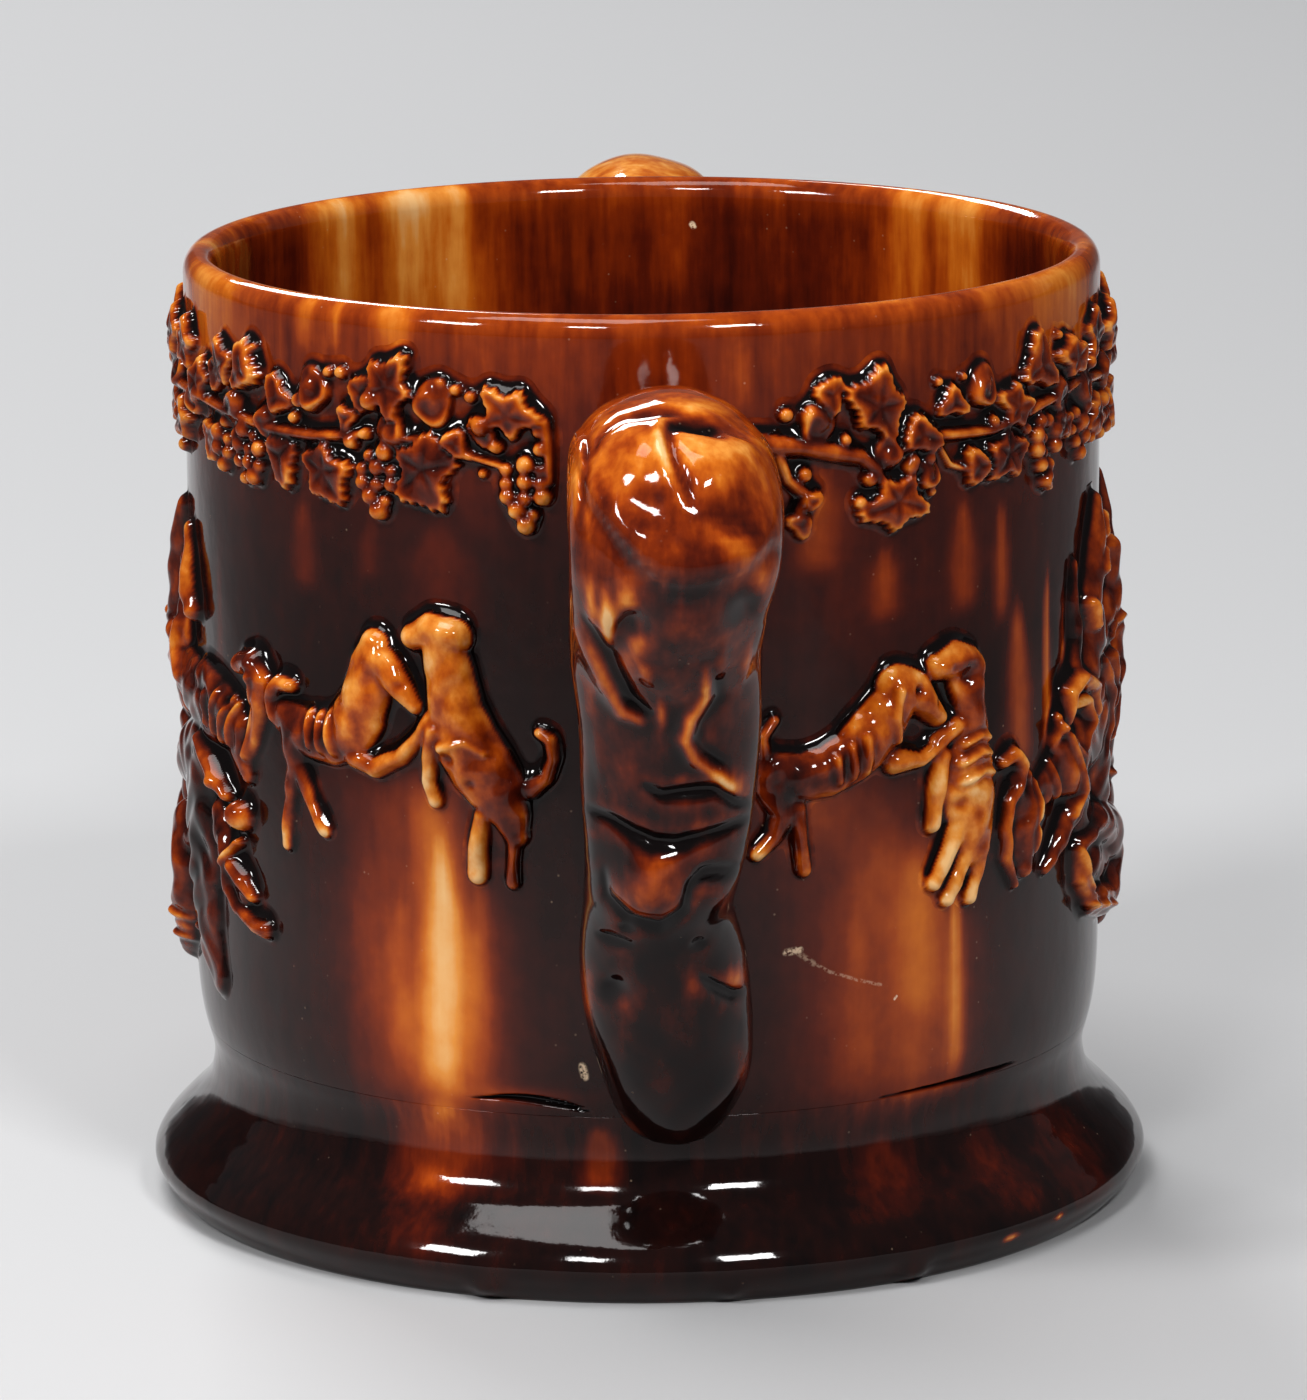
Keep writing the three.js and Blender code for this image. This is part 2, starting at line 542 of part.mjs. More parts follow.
function add(name, solid, colour) {
  const mesh = new THREE.Mesh(
    toGeometry(solid), new THREE.MeshStandardMaterial({ color: colour, ...GLAZE }));
  mesh.name = name;
  group.add(mesh);
}

add('cup_body', cupBody(), 0x4a1c0a);
add('foot', foot(), 0x26100a);
add('handle_near', handle(HANDLE_TURN, 0), 0x6b3210);
add('handle_far', handle(FAR_TURN, FAR_LIFT), 0x6b3210);

// The same moulds were used on both sides, so the back is the front turned half round.
for (const [side, turn] of [['front', 0], ['back', 180]]) {
  add(`vine_left_${side}`, vine(VINE_LEFT, turn), 0x5a2a10);
  add(`vine_right_${side}`, vine(VINE_RIGHT, turn), 0x5a2a10);
  add(`hounds_left_${side}`, figures(HOUNDS_LEFT, [], turn), 0xa8662a);
  add(`hounds_right_${side}`, figures(HOUNDS_RIGHT, [], turn), 0xa8662a);
  add(`chase_left_${side}`, figures(CHASE_LEFT, CHASE_LEFT_KNOBS, turn), 0x7a4420);
  add(`chase_right_${side}`, figures(CHASE_RIGHT, CHASE_RIGHT_KNOBS, turn), 0x7a4420);
}

export default group;
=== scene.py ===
"""Loving cup in treacle-brown lead glaze, seen from a little above its front handle.

A straight-sided pot stands on a moulded foot. Two sculpted handles and reliefs of vine, hounds
and other animals were pressed in moulds and luted on. The camera, the table and the lamps are
placed in metres. The pieces are worked out in millimetres, with angles in degrees round the pot
from its front, and their meshes are put in place in metres.
"""

import bpy
import numpy as np
from mathutils import Matrix


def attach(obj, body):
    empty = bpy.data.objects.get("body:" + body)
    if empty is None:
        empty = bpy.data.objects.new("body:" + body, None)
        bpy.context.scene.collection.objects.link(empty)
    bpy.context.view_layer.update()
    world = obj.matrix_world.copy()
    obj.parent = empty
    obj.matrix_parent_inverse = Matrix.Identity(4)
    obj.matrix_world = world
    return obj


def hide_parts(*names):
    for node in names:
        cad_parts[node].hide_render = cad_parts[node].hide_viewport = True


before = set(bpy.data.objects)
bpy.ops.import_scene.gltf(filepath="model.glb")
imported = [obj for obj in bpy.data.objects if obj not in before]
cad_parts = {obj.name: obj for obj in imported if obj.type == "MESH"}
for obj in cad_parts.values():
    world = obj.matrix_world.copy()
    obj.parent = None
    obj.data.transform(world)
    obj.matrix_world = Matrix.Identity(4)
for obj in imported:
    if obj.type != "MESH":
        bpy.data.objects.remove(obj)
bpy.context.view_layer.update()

# ---------------------------------------------------------------------------------------------
# Camera: a long lens on the cup's centre line, a little above the rim, at the photograph's
# distance and tilt.

CAMERA_AT = (0.0, -1.59844, 0.44936)
YAW, PITCH, ROLL = 0.0011, 0.2142, -0.0091  # radians: to the right, down, round the line of sight
LENS, SENSOR = 200.56, 36
NEAREST, FARTHEST = 0.1, 40


def placed(name, data, at, right, back):
    """A camera or a lamp in its place, with its right hand and its back turned these ways."""
    thing = bpy.data.objects.new(name, data)
    pose = np.eye(4)
    pose[:3] = np.stack([right, np.cross(back, right), back, at], axis=1)
    thing.matrix_world = Matrix(pose.tolist())
    bpy.context.scene.collection.objects.link(thing)
    return thing


sight = np.array([np.sin(YAW) * np.cos(PITCH), np.cos(YAW) * np.cos(PITCH), -np.sin(PITCH)])
level = np.array([np.cos(YAW), -np.sin(YAW), 0])
lens = bpy.data.cameras.new("long_lens")
lens.lens, lens.sensor_width = LENS, SENSOR
lens.clip_start, lens.clip_end = NEAREST, FARTHEST
bpy.context.scene.camera = placed(
    "camera", lens, CAMERA_AT, np.cos(ROLL) * level + np.sin(ROLL) * np.cross(level, sight), -sight)

# ---------------------------------------------------------------------------------------------
# Table and light: a sweep of pale paper, a wide lamp above the front, one behind the cup, and
# three small soft boxes that leave the crisp highlights on the lip, the handle's rounded top and
# the foot.

TABLE_FRONT, TABLE_BACK, HALF_WIDTH, SWEEP_RADIUS = -9.0, 2.2, 8.0, 4.0
# The paper's own tint, and the grey of the painted shade laid on it beyond the lamps' reach.
PALE, PAINTED_SHADE_GREY = (0.50, 0.50, 0.505, 1), (0.24, 0.24, 0.245, 1)
SKY_TINT, SKY_STRENGTH = (0.80, 0.82, 0.86, 1), 0.18
CUP_MIDDLE = (0, 0, 0.1)

bend = np.linspace(0, np.pi / 2, 24)[1:]
flat = np.linspace(TABLE_FRONT, TABLE_BACK, 40)
along = np.concatenate([flat, TABLE_BACK + SWEEP_RADIUS * np.sin(bend)])
above = np.concatenate([0 * flat, SWEEP_RADIUS * (1 - np.cos(bend))])
board = np.stack([np.tile([-HALF_WIDTH, HALF_WIDTH], len(along)), np.repeat(along, 2),
                  np.repeat(above, 2)], -1)
first = np.arange(len(along) - 1)[:, None] * 2
board_mesh = bpy.data.meshes.new("table")
board_mesh.from_pydata(board.tolist(), [], (first + [0, 1, 3, 2]).tolist())
board_mesh.polygons.foreach_set("use_smooth", np.ones(len(board_mesh.polygons), bool))
table = bpy.data.objects.new("table", board_mesh)
bpy.context.scene.collection.objects.link(table)


class Port:
    """A socket of a material's nodes, or a number, that can be reckoned with."""

    def __init__(self, tree, value):
        self.tree, self.value = tree, value

    def node(self, kind, settings=(), **inputs):
        """A node of this kind: settings first, then its input sockets, by name or by number."""
        made = self.tree.nodes.new(kind)
        for name, value in dict(settings).items():
            setattr(made, name, value)
        for name, value in inputs.items():
            numbered = name[0] == "i" and name[1:].isdigit()
            socket = made.inputs[int(name[1:]) if numbered else name.replace("_", " ")]
            if isinstance(value, Port) and isinstance(value.value, bpy.types.NodeSocket):
                self.tree.links.new(value.value, socket)
            else:
                socket.default_value = value.value if isinstance(value, Port) else value
        return made

    def out(self, kind, output, settings=(), **inputs):
        """One output of such a node."""
        return Port(self.tree, self.node(kind, settings, **inputs).outputs[output])

    def math(self, operation, *values, clamp=False):
        """The result of a Math node."""
        return self.out("ShaderNodeMath", 0, {"operation": operation, "use_clamp": clamp},
                        **{f"i{k}": v for k, v in enumerate(values)})

    def __add__(self, other):
        return self.math("ADD", self, other)

    def __radd__(self, other):
        return self.math("ADD", other, self)

    def __sub__(self, other):
        return self.math("SUBTRACT", self, other)

    def __rsub__(self, other):
        return self.math("SUBTRACT", other, self)

    def __mul__(self, other):
        return self.math("MULTIPLY", self, other)

    def __rmul__(self, other):
        return self.math("MULTIPLY", other, self)

    def step(self, low, high):
        """0 below low, 1 above high, an S between."""
        return self.out("ShaderNodeMapRange", 0, {"interpolation_type": "SMOOTHSTEP"},
                        Value=self, From_Min=low, From_Max=high)


# Pale paper with painted shade: it greys out in front of the cup and at its sides, outside the
# camera's view, as paper that the lamps leave unlit, so that the dark glaze doesn't mirror a bright
# floor. The bounds are in metres.
paper = bpy.data.materials.new("paper_with_painted_shade")
paper.use_nodes = True
paper.node_tree.nodes.clear()
here = Port(paper.node_tree, None)
spot = here.node("ShaderNodeSeparateXYZ", Vector=here.out("ShaderNodeTexCoord", "Object"))
to_right, to_back = (Port(paper.node_tree, spot.outputs[k]) for k in (0, 1))
aside = (here.math("ABSOLUTE", to_right) - to_back * 0.1).step(0.33, 0.60)
shaded_in_front = (to_back * -1).step(0.27, 0.76)
paper_and_painted_shade = here.out("ShaderNodeMix", 2, {"data_type": "RGBA"},
                  i0=here.math("MAXIMUM", aside, shaded_in_front), i6=PALE, i7=PAINTED_SHADE_GREY)
matt = here.node("ShaderNodeBsdfPrincipled", Base_Color=paper_and_painted_shade, Roughness=0.75)
here.node("ShaderNodeOutputMaterial", Surface=Port(paper.node_tree, matt.outputs[0]))
board_mesh.materials.append(paper)

studio = bpy.data.worlds.new("studio")
studio.use_nodes = True
sky = studio.node_tree.nodes["Background"]
sky.inputs["Color"].default_value = SKY_TINT
sky.inputs["Strength"].default_value = SKY_STRENGTH
bpy.context.scene.world = studio
bpy.context.scene.view_settings.view_transform = "Standard"
bpy.context.scene.view_settings.look = "Medium High Contrast"


def soft_box(name, bearing, height, distance, wide, tall, power):
    """A rectangular lamp at a bearing in degrees from the cup's front, facing its middle."""
    lamp = bpy.data.lights.new(name, "AREA")
    lamp.shape, lamp.size, lamp.size_y, lamp.energy = "RECTANGLE", wide, tall, power
    turn = np.radians(bearing)
    at = np.array([distance * np.sin(turn), -distance * np.cos(turn), height])
    back = at - CUP_MIDDLE
    back /= np.linalg.norm(back)
    side = np.cross((0, 0, 1), back)
    side /= np.linalg.norm(side)
    placed(name, lamp, at, side, back).visible_camera = False


# Bearing, height, distance, width, height of the lamp itself, and watts.
for name, *row in (
        ("overhead", -38, 2.5, 0.62, 1.4, 1.0, 22), ("back_light", 200, 2.2, 2.9, 1.4, 1.0, 60),
        ("left_box", -52, 1.5, 1.9, 0.5, 0.35, 20), ("middle_box", -16, 1.9, 2.1, 0.4, 0.3, 12),
        ("right_box", 24, 1.6, 1.9, 0.45, 0.35, 22)):
    soft_box(name, *row)

# ---------------------------------------------------------------------------------------------
# Pot: thrown in buff earthenware, with a straight wall, a rounded lip and a flat floor. It was
# dipped in a lead glaze that ran down in streaks: straw and amber where thin, near black where
# it gathered.

CUP_HEIGHT = 198.8
WALL_RADIUS, WALL = 95.0, 6.8
LIP_ROUND, POT_SEAT = 4.4, 36.5
FLOOR_TOP, FLOOR_ROUND = 45.5, 14.0
OVAL, FIVE_SIDED = 0.12, 0.08  # how far the wall sways from round
COLUMNS = 400  # points round the pot and round the foot
CRACK_DEPTH = 1.6
SEAM_DEPTH, SEAM_RISE = 0.4, 0.12  # points this near the seam keep its edges crisp
LIP_TURN, LIP_BLEND = 5, 9  # points of the lip before the inside's glaze begins and takes over
# The outline of foot and wall: height and radius.
OUTLINE = np.array([
    (0, 100.2), (3.5, 103.2), (7, 104.8), (11, 103.2), (15, 99.5), (19, 95.4), (23, 92.8), (26, 92),
    (29, 91.7), (32, 92.05), (35, 92.9), (38, 93.65), (42, 94.3), (48, 94.8), (60, 95), (80, 95),
    (130, 95), (180, 95), (192, 95), (220, 95)])


def smooth_through(knots, at):
    """A smooth curve through knots of rising first value: cubic stretches whose slope at each
    knot is the mean of the slopes on both sides of it."""
    x, y = knots[:, 0], knots[:, 1]
    slope = np.gradient(y, x)
    k = np.clip(np.searchsorted(x, at) - 1, 0, len(x) - 2)
    gap = x[k + 1] - x[k]
    t = np.clip((at - x[k]) / gap, 0, 1)
    return ((1 + 2 * t) * (1 - t) ** 2 * y[k] + t * t * (3 - 2 * t) * y[k + 1]
            + gap * (t * (1 - t) ** 2 * slope[k] - t * t * (1 - t) * slope[k + 1]))


def wall_radius(angle, height):
    """Outside radius of foot and wall: the outline, and the slight sway that the hand leaves."""
    turn = np.radians(angle)
    sway = OVAL * np.sin(2 * turn + 0.7) + FIVE_SIDED * np.sin(5 * turn + height / 31)
    return smooth_through(OUTLINE, height) + sway


def round_pot(radius, angle, height):
    """Points at a radius, an angle in degrees from the front, and a height."""
    turn = np.radians(angle)
    across, away = radius * np.sin(turn), -radius * np.cos(turn)
    return np.stack([across, away, np.broadcast_to(height, across.shape)], -1)


def smooth_step(low, high, value):
    """0 below low, 1 above high, and an even S between them."""
    t = np.clip((value - low) / (high - low), 0, 1)
    return t * t * (3 - 2 * t)


# Runs of thin glaze on the outside: angle, top, bottom, half width, how much thinner.
RUNS = np.array([
    (-29, 112, 24, 21, 0.16), (-26.5, 110, 25, 12.5, 0.22), (-25.4, 98, 33, 5, 0.36),
    (-20.5, 90, 38, 3.4, 0.14), (-31.5, 84, 40, 3, 0.1), (-37, 92, 30, 4.5, 0.06),
    (-30.5, 106, 54, 3.2, -0.09), (31, 98, 27, 21, 0.27), (38, 96, 28, 10, 0.12),
    (41, 84, 34, 2.4, 0.34), (35, 94, 50, 6, 0.14), (26, 80, 36, 4, 0.08), (52.6, 138, 94, 5, 0.46),
    (59.2, 144, 92, 1.9, 0.62), (63.5, 140, 106, 1.2, 0.4), (-25, 158, 134, 8, 0.14),
    (-46, 160, 138, 4, 0.2), (-35, 158, 142, 3, 0.12), (21, 170, 144, 5, 0.26),
    (30, 152, 134, 3.6, 0.24), (42, 160, 132, 4, 0.28), (49, 158, 128, 2.6, 0.32),
    (-27, 40, 16, 11, 0.3), (-27.6, 26, 6, 8, 0.16), (-6, 36, 20, 4.5, 0.34), (30, 30, 12, 7, 0.2),
    (47, 28, 8, 8, 0.16), (62, 30, 2, 10, 0.14), (-66, 150, 60, 3, 0.18), (76, 150, 90, 2.6, 0.25),
    (84, 90, 40, 4, 0.15), (-68, 215, 172, 17, 0.26), (-31, 212, 184, 4, 0.22),
    (-45, 215, 186, 2.4, 0.18), (-40, 206, 188, 1.4, 0.18), (64, 215, 172, 18, 0.28),
    (47, 214, 188, 3, 0.1), (88, 215, 170, 8, 0.15), (12, 196, 178, 1.6, 0.12)])


def thinned(runs, angle, height):
    """How much thinner the glaze lies because of these runs. A run has the shape of a flame: it
    widens downwards from its top, dies out over its last fifth, and falls off sideways as a
    bell."""
    total = np.zeros(np.broadcast(angle, height).shape)
    for middle, top, bottom, half_width, strength in runs:
        down = (top - height) / (top - bottom)
        width = half_width * (0.22 + 0.78 * smooth_step(-0.05, 0.55, down))
        sway = 0.10 * half_width * np.sin(height / 9 + middle)
        off = ((angle - middle + 180) % 360 - 180) * np.radians(WALL_RADIUS) - sway
        total += (strength * smooth_step(0, 0.22, down) * smooth_step(1.0, 0.78, down)
                  * np.exp(-np.abs(off / width) ** 2.4))
    return total


def bells(across, height, rows):
    """The sum of soft round swellings, each a bell in both directions."""
    return sum(out * np.exp(-((across - x) / half_width) ** 2 - ((height - z) / half_height) ** 2)
               for x, z, half_width, half_height, out in rows)


# Broad places where the glaze drained thin: angle, height, half width, half height, how much.
DRAINED = [
    (-33, 100, 11, 9, 0.2), (-30, 84, 12, 14, 0.1), (-27, 60, 13, 30, 0.07), (-24, 104, 5, 12, 0.1),
    (29, 97, 11, 9, 0.2), (30, 82, 12, 14, 0.12), (32, 60, 14, 30, 0.05), (20, 104, 6, 8, 0.08),
    (-46, 96, 4, 10, 0.08), (-15, 40.6, 7, 1.8, 0.22), (40, 36.6, 9, 1.4, 0.14),
    (26, 140, 16, 20, 0.14), (18.6, 98, 7, 13, 0.2), (22, 76, 8, 18, 0.09), (52, 146, 10, 14, 0.07),
    (34, 48, 14, 9, 0.05), (-36, 66, 8, 22, 0.05), (-20, 64, 6, 20, 0.05)]


def glaze_outside(angle, height):
    """Depth of the glaze on the outside, from 0, a bare straw tint, to 1, black."""
    by_height = np.interp(height, [0, 14, 30, 60, 118, 150, 168, 184, 194, 199],
                          [0.90, 0.93, 0.88, 0.86, 0.90, 0.83, 0.68, 0.58, 0.53, 0.42])
    both = np.concatenate([RUNS, RUNS * [1, 1, 1, 1, 0.9] + [180, 0, 0, 0, 0]])
    front = (angle + 90) % 180 - 90
    return by_height - thinned(both, angle, height) - bells(front, height, DRAINED)


# Runs on the inside.
INNER_RUNS = np.array([
    (229, 222, 120, 14, 0.3), (212.5, 224, 110, 22, 0.35), (131.5, 222, 110, 23, 0.28),
    (215, 230, 150, 5, 0.14), (207.6, 226, 160, 3, 0.1), (220.5, 220, 150, 2.6, -0.07),
    (226, 206, 168, 2.4, 0.12), (126, 224, 150, 5, 0.12), (134.6, 222, 165, 2.6, -0.12),
    (137, 216, 170, 3, 0.1), (140.5, 215, 160, 4, 0.14), (206, 214, 150, 3, 0.12),
    (30, 222, 120, 14, 0.36), (52, 222, 130, 9, 0.3), (-52, 222, 110, 15, 0.38),
    (-30, 220, 150, 5, 0.22), (85, 218, 140, 9, 0.22), (-95, 218, 130, 10, 0.24),
    (180, 200, 172, 20, 0.05)])


def glaze_inside(angle, height, radius):
    """Depth of the glaze on the inside: red-brown below the lip, darker down to the floor, where
    it lies in a dark pool with a paler middle."""
    by_height = np.interp(height, [44, 60, 110, 165, 190, 199],
                          [0.80, 0.84, 0.80, 0.70, 0.62, 0.44])
    floor = smooth_step(FLOOR_TOP + 1.5, FLOOR_TOP, height) * smooth_step(75, 20, radius)
    runs = thinned(INNER_RUNS, angle, height) * smooth_step(40, 80, radius)
    return by_height - runs - 0.16 * floor


def fired(name, points, faces, slot, **paint):
    """A piece from points in millimetres and arrays of faces, each row the numbers of one face.
    The volume under all the faces tells whether they point outwards; if not, they are turned."""
    corners = np.concatenate([f[:, [0, k, k + 1]] for f in faces for k in range(1, f.shape[1] - 1)])
    a, b, c = (points[corners[:, k]] for k in range(3))
    if np.einsum("ij,ij->", a, np.cross(b, c)) < 0:
        faces = [f[:, ::-1] for f in faces]
    sizes = np.concatenate([np.full(len(f), f.shape[1]) for f in faces])
    mesh = bpy.data.meshes.new(name)
    mesh.vertices.add(len(points))
    mesh.vertices.foreach_set("co", (points / 1000).astype(np.float32).ravel())
    mesh.loops.add(int(sizes.sum()))
    corners = np.concatenate([f.ravel() for f in faces])
    mesh.loops.foreach_set("vertex_index", corners.astype(np.int32))
    mesh.polygons.add(len(sizes))
    starts = np.cumsum(sizes) - sizes
    mesh.polygons.foreach_set("loop_start", starts.astype(np.int32))
    mesh.polygons.foreach_set("use_smooth", np.ones(len(sizes), bool))
    for what, values in paint.items():
        painted = mesh.attributes.new(what, "FLOAT", "POINT")
        painted.data.foreach_set("value", values.astype(np.float32).ravel())
    mesh.update(calc_edges=True)
    mesh.validate()
    piece = bpy.data.objects.new(name, mesh)
    bpy.context.scene.collection.objects.link(piece)
    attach(piece, "root")
    return piece


def grid_faces(rows, columns, first=0):
    """Faces of a grid that closes on itself sideways: each joins four neighbours."""
    at = first + np.arange(rows * columns).reshape(rows, columns)
    side = np.roll(at, -1, axis=1)
    return np.stack([at[:-1], side[:-1], side[1:], at[1:]], -1).reshape(-1, 4)


def fan_faces(tip, ring):
    """Triangles from one point to a closed ring."""
    return np.stack([np.full(len(ring), tip), ring, np.roll(ring, -1)], -1)


def capped(name, slot, first, rings, last, **paint):
    """A piece of closed rings, with a fan of triangles round one further point at each end. Each
    paint is given as its value at the first point, on the rings and at the last point."""
    rows, count = rings.shape[:2]
    end = 1 + rows * count
    return fired(
        name, np.concatenate([[first], rings.reshape(-1, 3), [last]]),
        [grid_faces(rows, count, 1), fan_faces(0, 1 + np.arange(count)[::-1]),
         fan_faces(end, end - count + np.arange(count))],
        slot, **{what: np.concatenate([[start], on.ravel(), [stop]])
                 for what, (start, on, stop) in paint.items()})


# Tints from a bare straw film to the black of a deep pool.
TREACLE = [
    (0.00, (0.800, 0.480, 0.210)), (0.14, (0.720, 0.290, 0.055)), (0.27, (0.550, 0.148, 0.013)),
    (0.40, (0.360, 0.066, 0.006)), (0.52, (0.205, 0.029, 0.004)), (0.64, (0.102, 0.013, 0.004)),
    (0.76, (0.045, 0.007, 0.004)), (0.88, (0.017, 0.005, 0.004)), (1.00, (0.006, 0.0035, 0.0035))]
BARE_CLAY = (0.76, 0.58, 0.40, 1)
LEAD_GLAZE_IOR = 1.42


def treacle_glaze(name, streaks, mottled=0.14, marks=()):
    """Lead glaze over buff clay. Its depth comes with each piece as an attribute; fine runs, drawn
    out downwards, and mottling vary it, and the depth picks the tint. How strong the runs are is a
    number, or the name of a further attribute. Marks show pale clay, broken up by a fine grain: a
    point lies in a mark when it is nearer than its half width to the mark's line."""
    material = bpy.data.materials.new(name)
    material.use_nodes = True
    tree = material.node_tree
    tree.nodes.clear()
    here = Port(tree, None)
    place = here.out("ShaderNodeTexCoord", "Object")

    def noise(scale, down, detail=2.0):
        """Noise of this many waves in a metre, drawn out downwards where down is below one."""
        spot = here.out("ShaderNodeMapping", 0, Vector=place, Scale=(scale, scale, scale * down))
        return here.out("ShaderNodeTexNoise", 0, Vector=spot, Scale=1.0, Detail=detail)

    def vector(operation, a, b, output=0):
        """The result of a Vector Math node."""
        return here.out("ShaderNodeVectorMath", output, {"operation": operation}, i0=a, i1=b)

    depth = here.out("ShaderNodeAttribute", "Fac", {"attribute_name": "depth"})
    if isinstance(streaks, str):
        streaks = here.out("ShaderNodeAttribute", "Fac", {"attribute_name": streaks})
    lively = 1 - depth.step(0.86, 1.02) * 0.8
    fine = noise(430, 0.12, 3.0) - 0.5
    broad = noise(120, 0.12, 3.0) - 0.5
    mottle = noise(230, 0.8, 4.0) - 0.5
    depth = depth + ((fine * 0.34 + broad * 0.42) * streaks + mottle * mottled) * lively
    ramp = here.node("ShaderNodeValToRGB", Fac=depth)
    stops = ramp.color_ramp.elements
    for at, _ in TREACLE[1:-1]:
        stops.new(at)
    for stop, (_, tint) in zip(stops, TREACLE):
        stop.color = (*tint, 1)

    pinholes = here.out("ShaderNodeTexVoronoi", "Distance", Vector=place, Scale=300.0)
    worn = pinholes.step(0.10, 0.03) * noise(70, 1.0).step(0.5, 0.72) * 0.22
    grain = noise(1500, 1.0).step(0.36, 0.60) if marks else None
    for line, radius, half_width, pale in marks:
        angle, rise = np.array(line).T
        at = round_pot(radius, angle, rise) / 1000
        for start, end in zip(at, at[1:]):
            span = end - start
            from_start = vector("SUBTRACT", place, start.tolist())
            share = vector("DOT_PRODUCT", from_start, (span / (span @ span)).tolist(), "Value")
            nearest = here.out("ShaderNodeVectorMath", 0, {"operation": "SCALE"}, i0=span.tolist(),
                               Scale=here.math("ADD", share, 0.0, clamp=True))
            away = vector("DISTANCE", from_start, nearest, "Value")
            mark = away.step(half_width / 1000, half_width / 2500) * grain * pale
            worn = here.math("MAXIMUM", worn, mark)
    tint = here.out("ShaderNodeMix", 2, {"data_type": "RGBA"}, i0=worn,
                    i6=Port(tree, ramp.outputs[0]), i7=BARE_CLAY)

    waves = noise(55, 0.7) + noise(420, 0.8) * 0.10
    bump = here.out("ShaderNodeBump", 0, Height=waves, Strength=0.22, Distance=0.0012)
    shine = here.node("ShaderNodeBsdfPrincipled", Base_Color=tint, IOR=LEAD_GLAZE_IOR,
                      Roughness=noise(90, 0.5) * 0.06 + 0.035, Normal=bump)
    here.node("ShaderNodeOutputMaterial", Surface=Port(tree, shine.outputs[0]))
    return material


# Two firing cracks above the seam, on both sides of the front toe: angle, height, half the gape.
CRACKS = np.array([
    (-22, 39.4, 0), (-20.2, 39.56, 0.25), (-18.25, 40, 0.5), (-15.7, 40.1, 0.75),
    (-13.2, 39.8, 0.8), (-10.8, 39.2, 0.7), (-9.3, 38.7, 0.45), (-8.2, 38, 0.2), (-7.4, 37.4, 0),
    (30, 37, 0), (35, 37.2, 0.22), (42, 37.35, 0.38), (47, 37.45, 0.42), (51, 37.5, 0.22),
    (53, 37.5, 0)])
# Scratches and chips: a line of angles and heights, its radius, its half width and how pale.
MARKS = [
    ([(18.4, 69.2), (22.4, 64.9), (26.2, 62.5), (29.4, 60.8)], WALL_RADIUS, 0.5, 0.30),
    ([(16.9, 69.7), (18.6, 70)], WALL_RADIUS, 1.0, 0.75),
    ([(18.4, 69.4), (20.4, 66.9)], WALL_RADIUS, 0.8, 0.25),
    ([(-8.0, 47.4), (-7.7, 45.2)], WALL_RADIUS, 1.1, 0.8),
    ([(172.7, 188.8), (172.5, 188.4)], WALL_RADIUS - WALL, 0.9, 1.0),
    ([(31.4, 57.4), (31.7, 57.9)], WALL_RADIUS, 0.4, 0.9)]

# The pot's line: along its underside, up the outside, over the lip, down the inside, and in
# along the floor.
angles = np.arange(COLUMNS) * (360 / COLUMNS)
lip = np.linspace(0, np.pi, 22)
corner = np.linspace(0, np.pi / 2, 12)
inner = WALL_RADIUS - WALL
shoulder, floor_edge = CUP_HEIGHT - LIP_ROUND, FLOOR_TOP + FLOOR_ROUND
rise = np.concatenate([
    [POT_SEAT, POT_SEAT + SEAM_RISE], np.linspace(37, 42, 22), np.linspace(43, 60, 15),
    np.linspace(61.5, shoulder, 74)])
seat_radius = smooth_through(OUTLINE, np.array([POT_SEAT]))[0]
under = [(r, POT_SEAT) for r in (30, 60, 88, seat_radius - SEAM_DEPTH)]
pot_line = np.concatenate([under, *(np.stack(np.broadcast_arrays(r, z), -1) for r, z in (
    (smooth_through(OUTLINE, rise), rise),
    (WALL_RADIUS - WALL / 2 + WALL / 2 * np.cos(lip[1:]), shoulder + LIP_ROUND * np.sin(lip[1:])),
    (inner, np.linspace(shoulder - 2, floor_edge + 1, 44)),
    (inner - FLOOR_ROUND + FLOOR_ROUND * np.cos(corner), floor_edge - FLOOR_ROUND * np.sin(corner)),
    (np.linspace(70, 6, 16), FLOOR_TOP)))])
radius, height = pot_line[:, :1], pot_line[:, 1:]
sway = wall_radius(angles, height) - smooth_through(OUTLINE, height)
signed = (angles + 180) % 360 - 180
gape = np.interp(signed, *CRACKS[:, [0, 2]].T)
from_crack = (height - np.interp(signed, *CRACKS[:, :2].T)) / np.maximum(gape, 0.05)
crack = np.exp(-from_crack ** 4) * (gape > 0) * (radius > inner + 2)
around = radius + sway * smooth_step(60, 88, radius) - CRACK_DEPTH * crack
turn_over = len(under) + len(rise) + LIP_TURN
over_lip = np.clip((np.arange(len(pot_line)) - turn_over) / LIP_BLEND, 0, 1)[:, None]
depth = ((1 - over_lip) * glaze_outside(angles, height)
         + over_lip * glaze_inside(angles, height, radius) + 0.5 * crack)
streaks = np.maximum(0.18 + 0.5 * smooth_step(158, 186, height), 0.8 * over_lip) + 0 * depth
pot = capped("pot", "body_glaze", (0, 0, POT_SEAT), round_pot(around, angles, height),
             (0, 0, FLOOR_TOP), depth=(0.9, depth, 0.7), streaks=(0.2, streaks, 0.5))
pot.data.materials.append(treacle_glaze("body_glaze", "streaks", marks=MARKS))
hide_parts("cup_body")

# ---------------------------------------------------------------------------------------------
# Foot: a moulded ring, a round bead under a hollow neck, luted under the pot. The glaze lies
# thick on it and hangs from its edge in three drips.

FOOT_WALL, RING_WIDTH, DRIP_HEIGHT = 12.0, 9.0, 2.5
HIDDEN_DEPTH = 0.86  # of the glaze under the foot
DRIPS = np.array([(-18.6, 3.2, 2.2), (9, 2.2, 1.6), (31, 3, 2.4)])  # angle, width, size
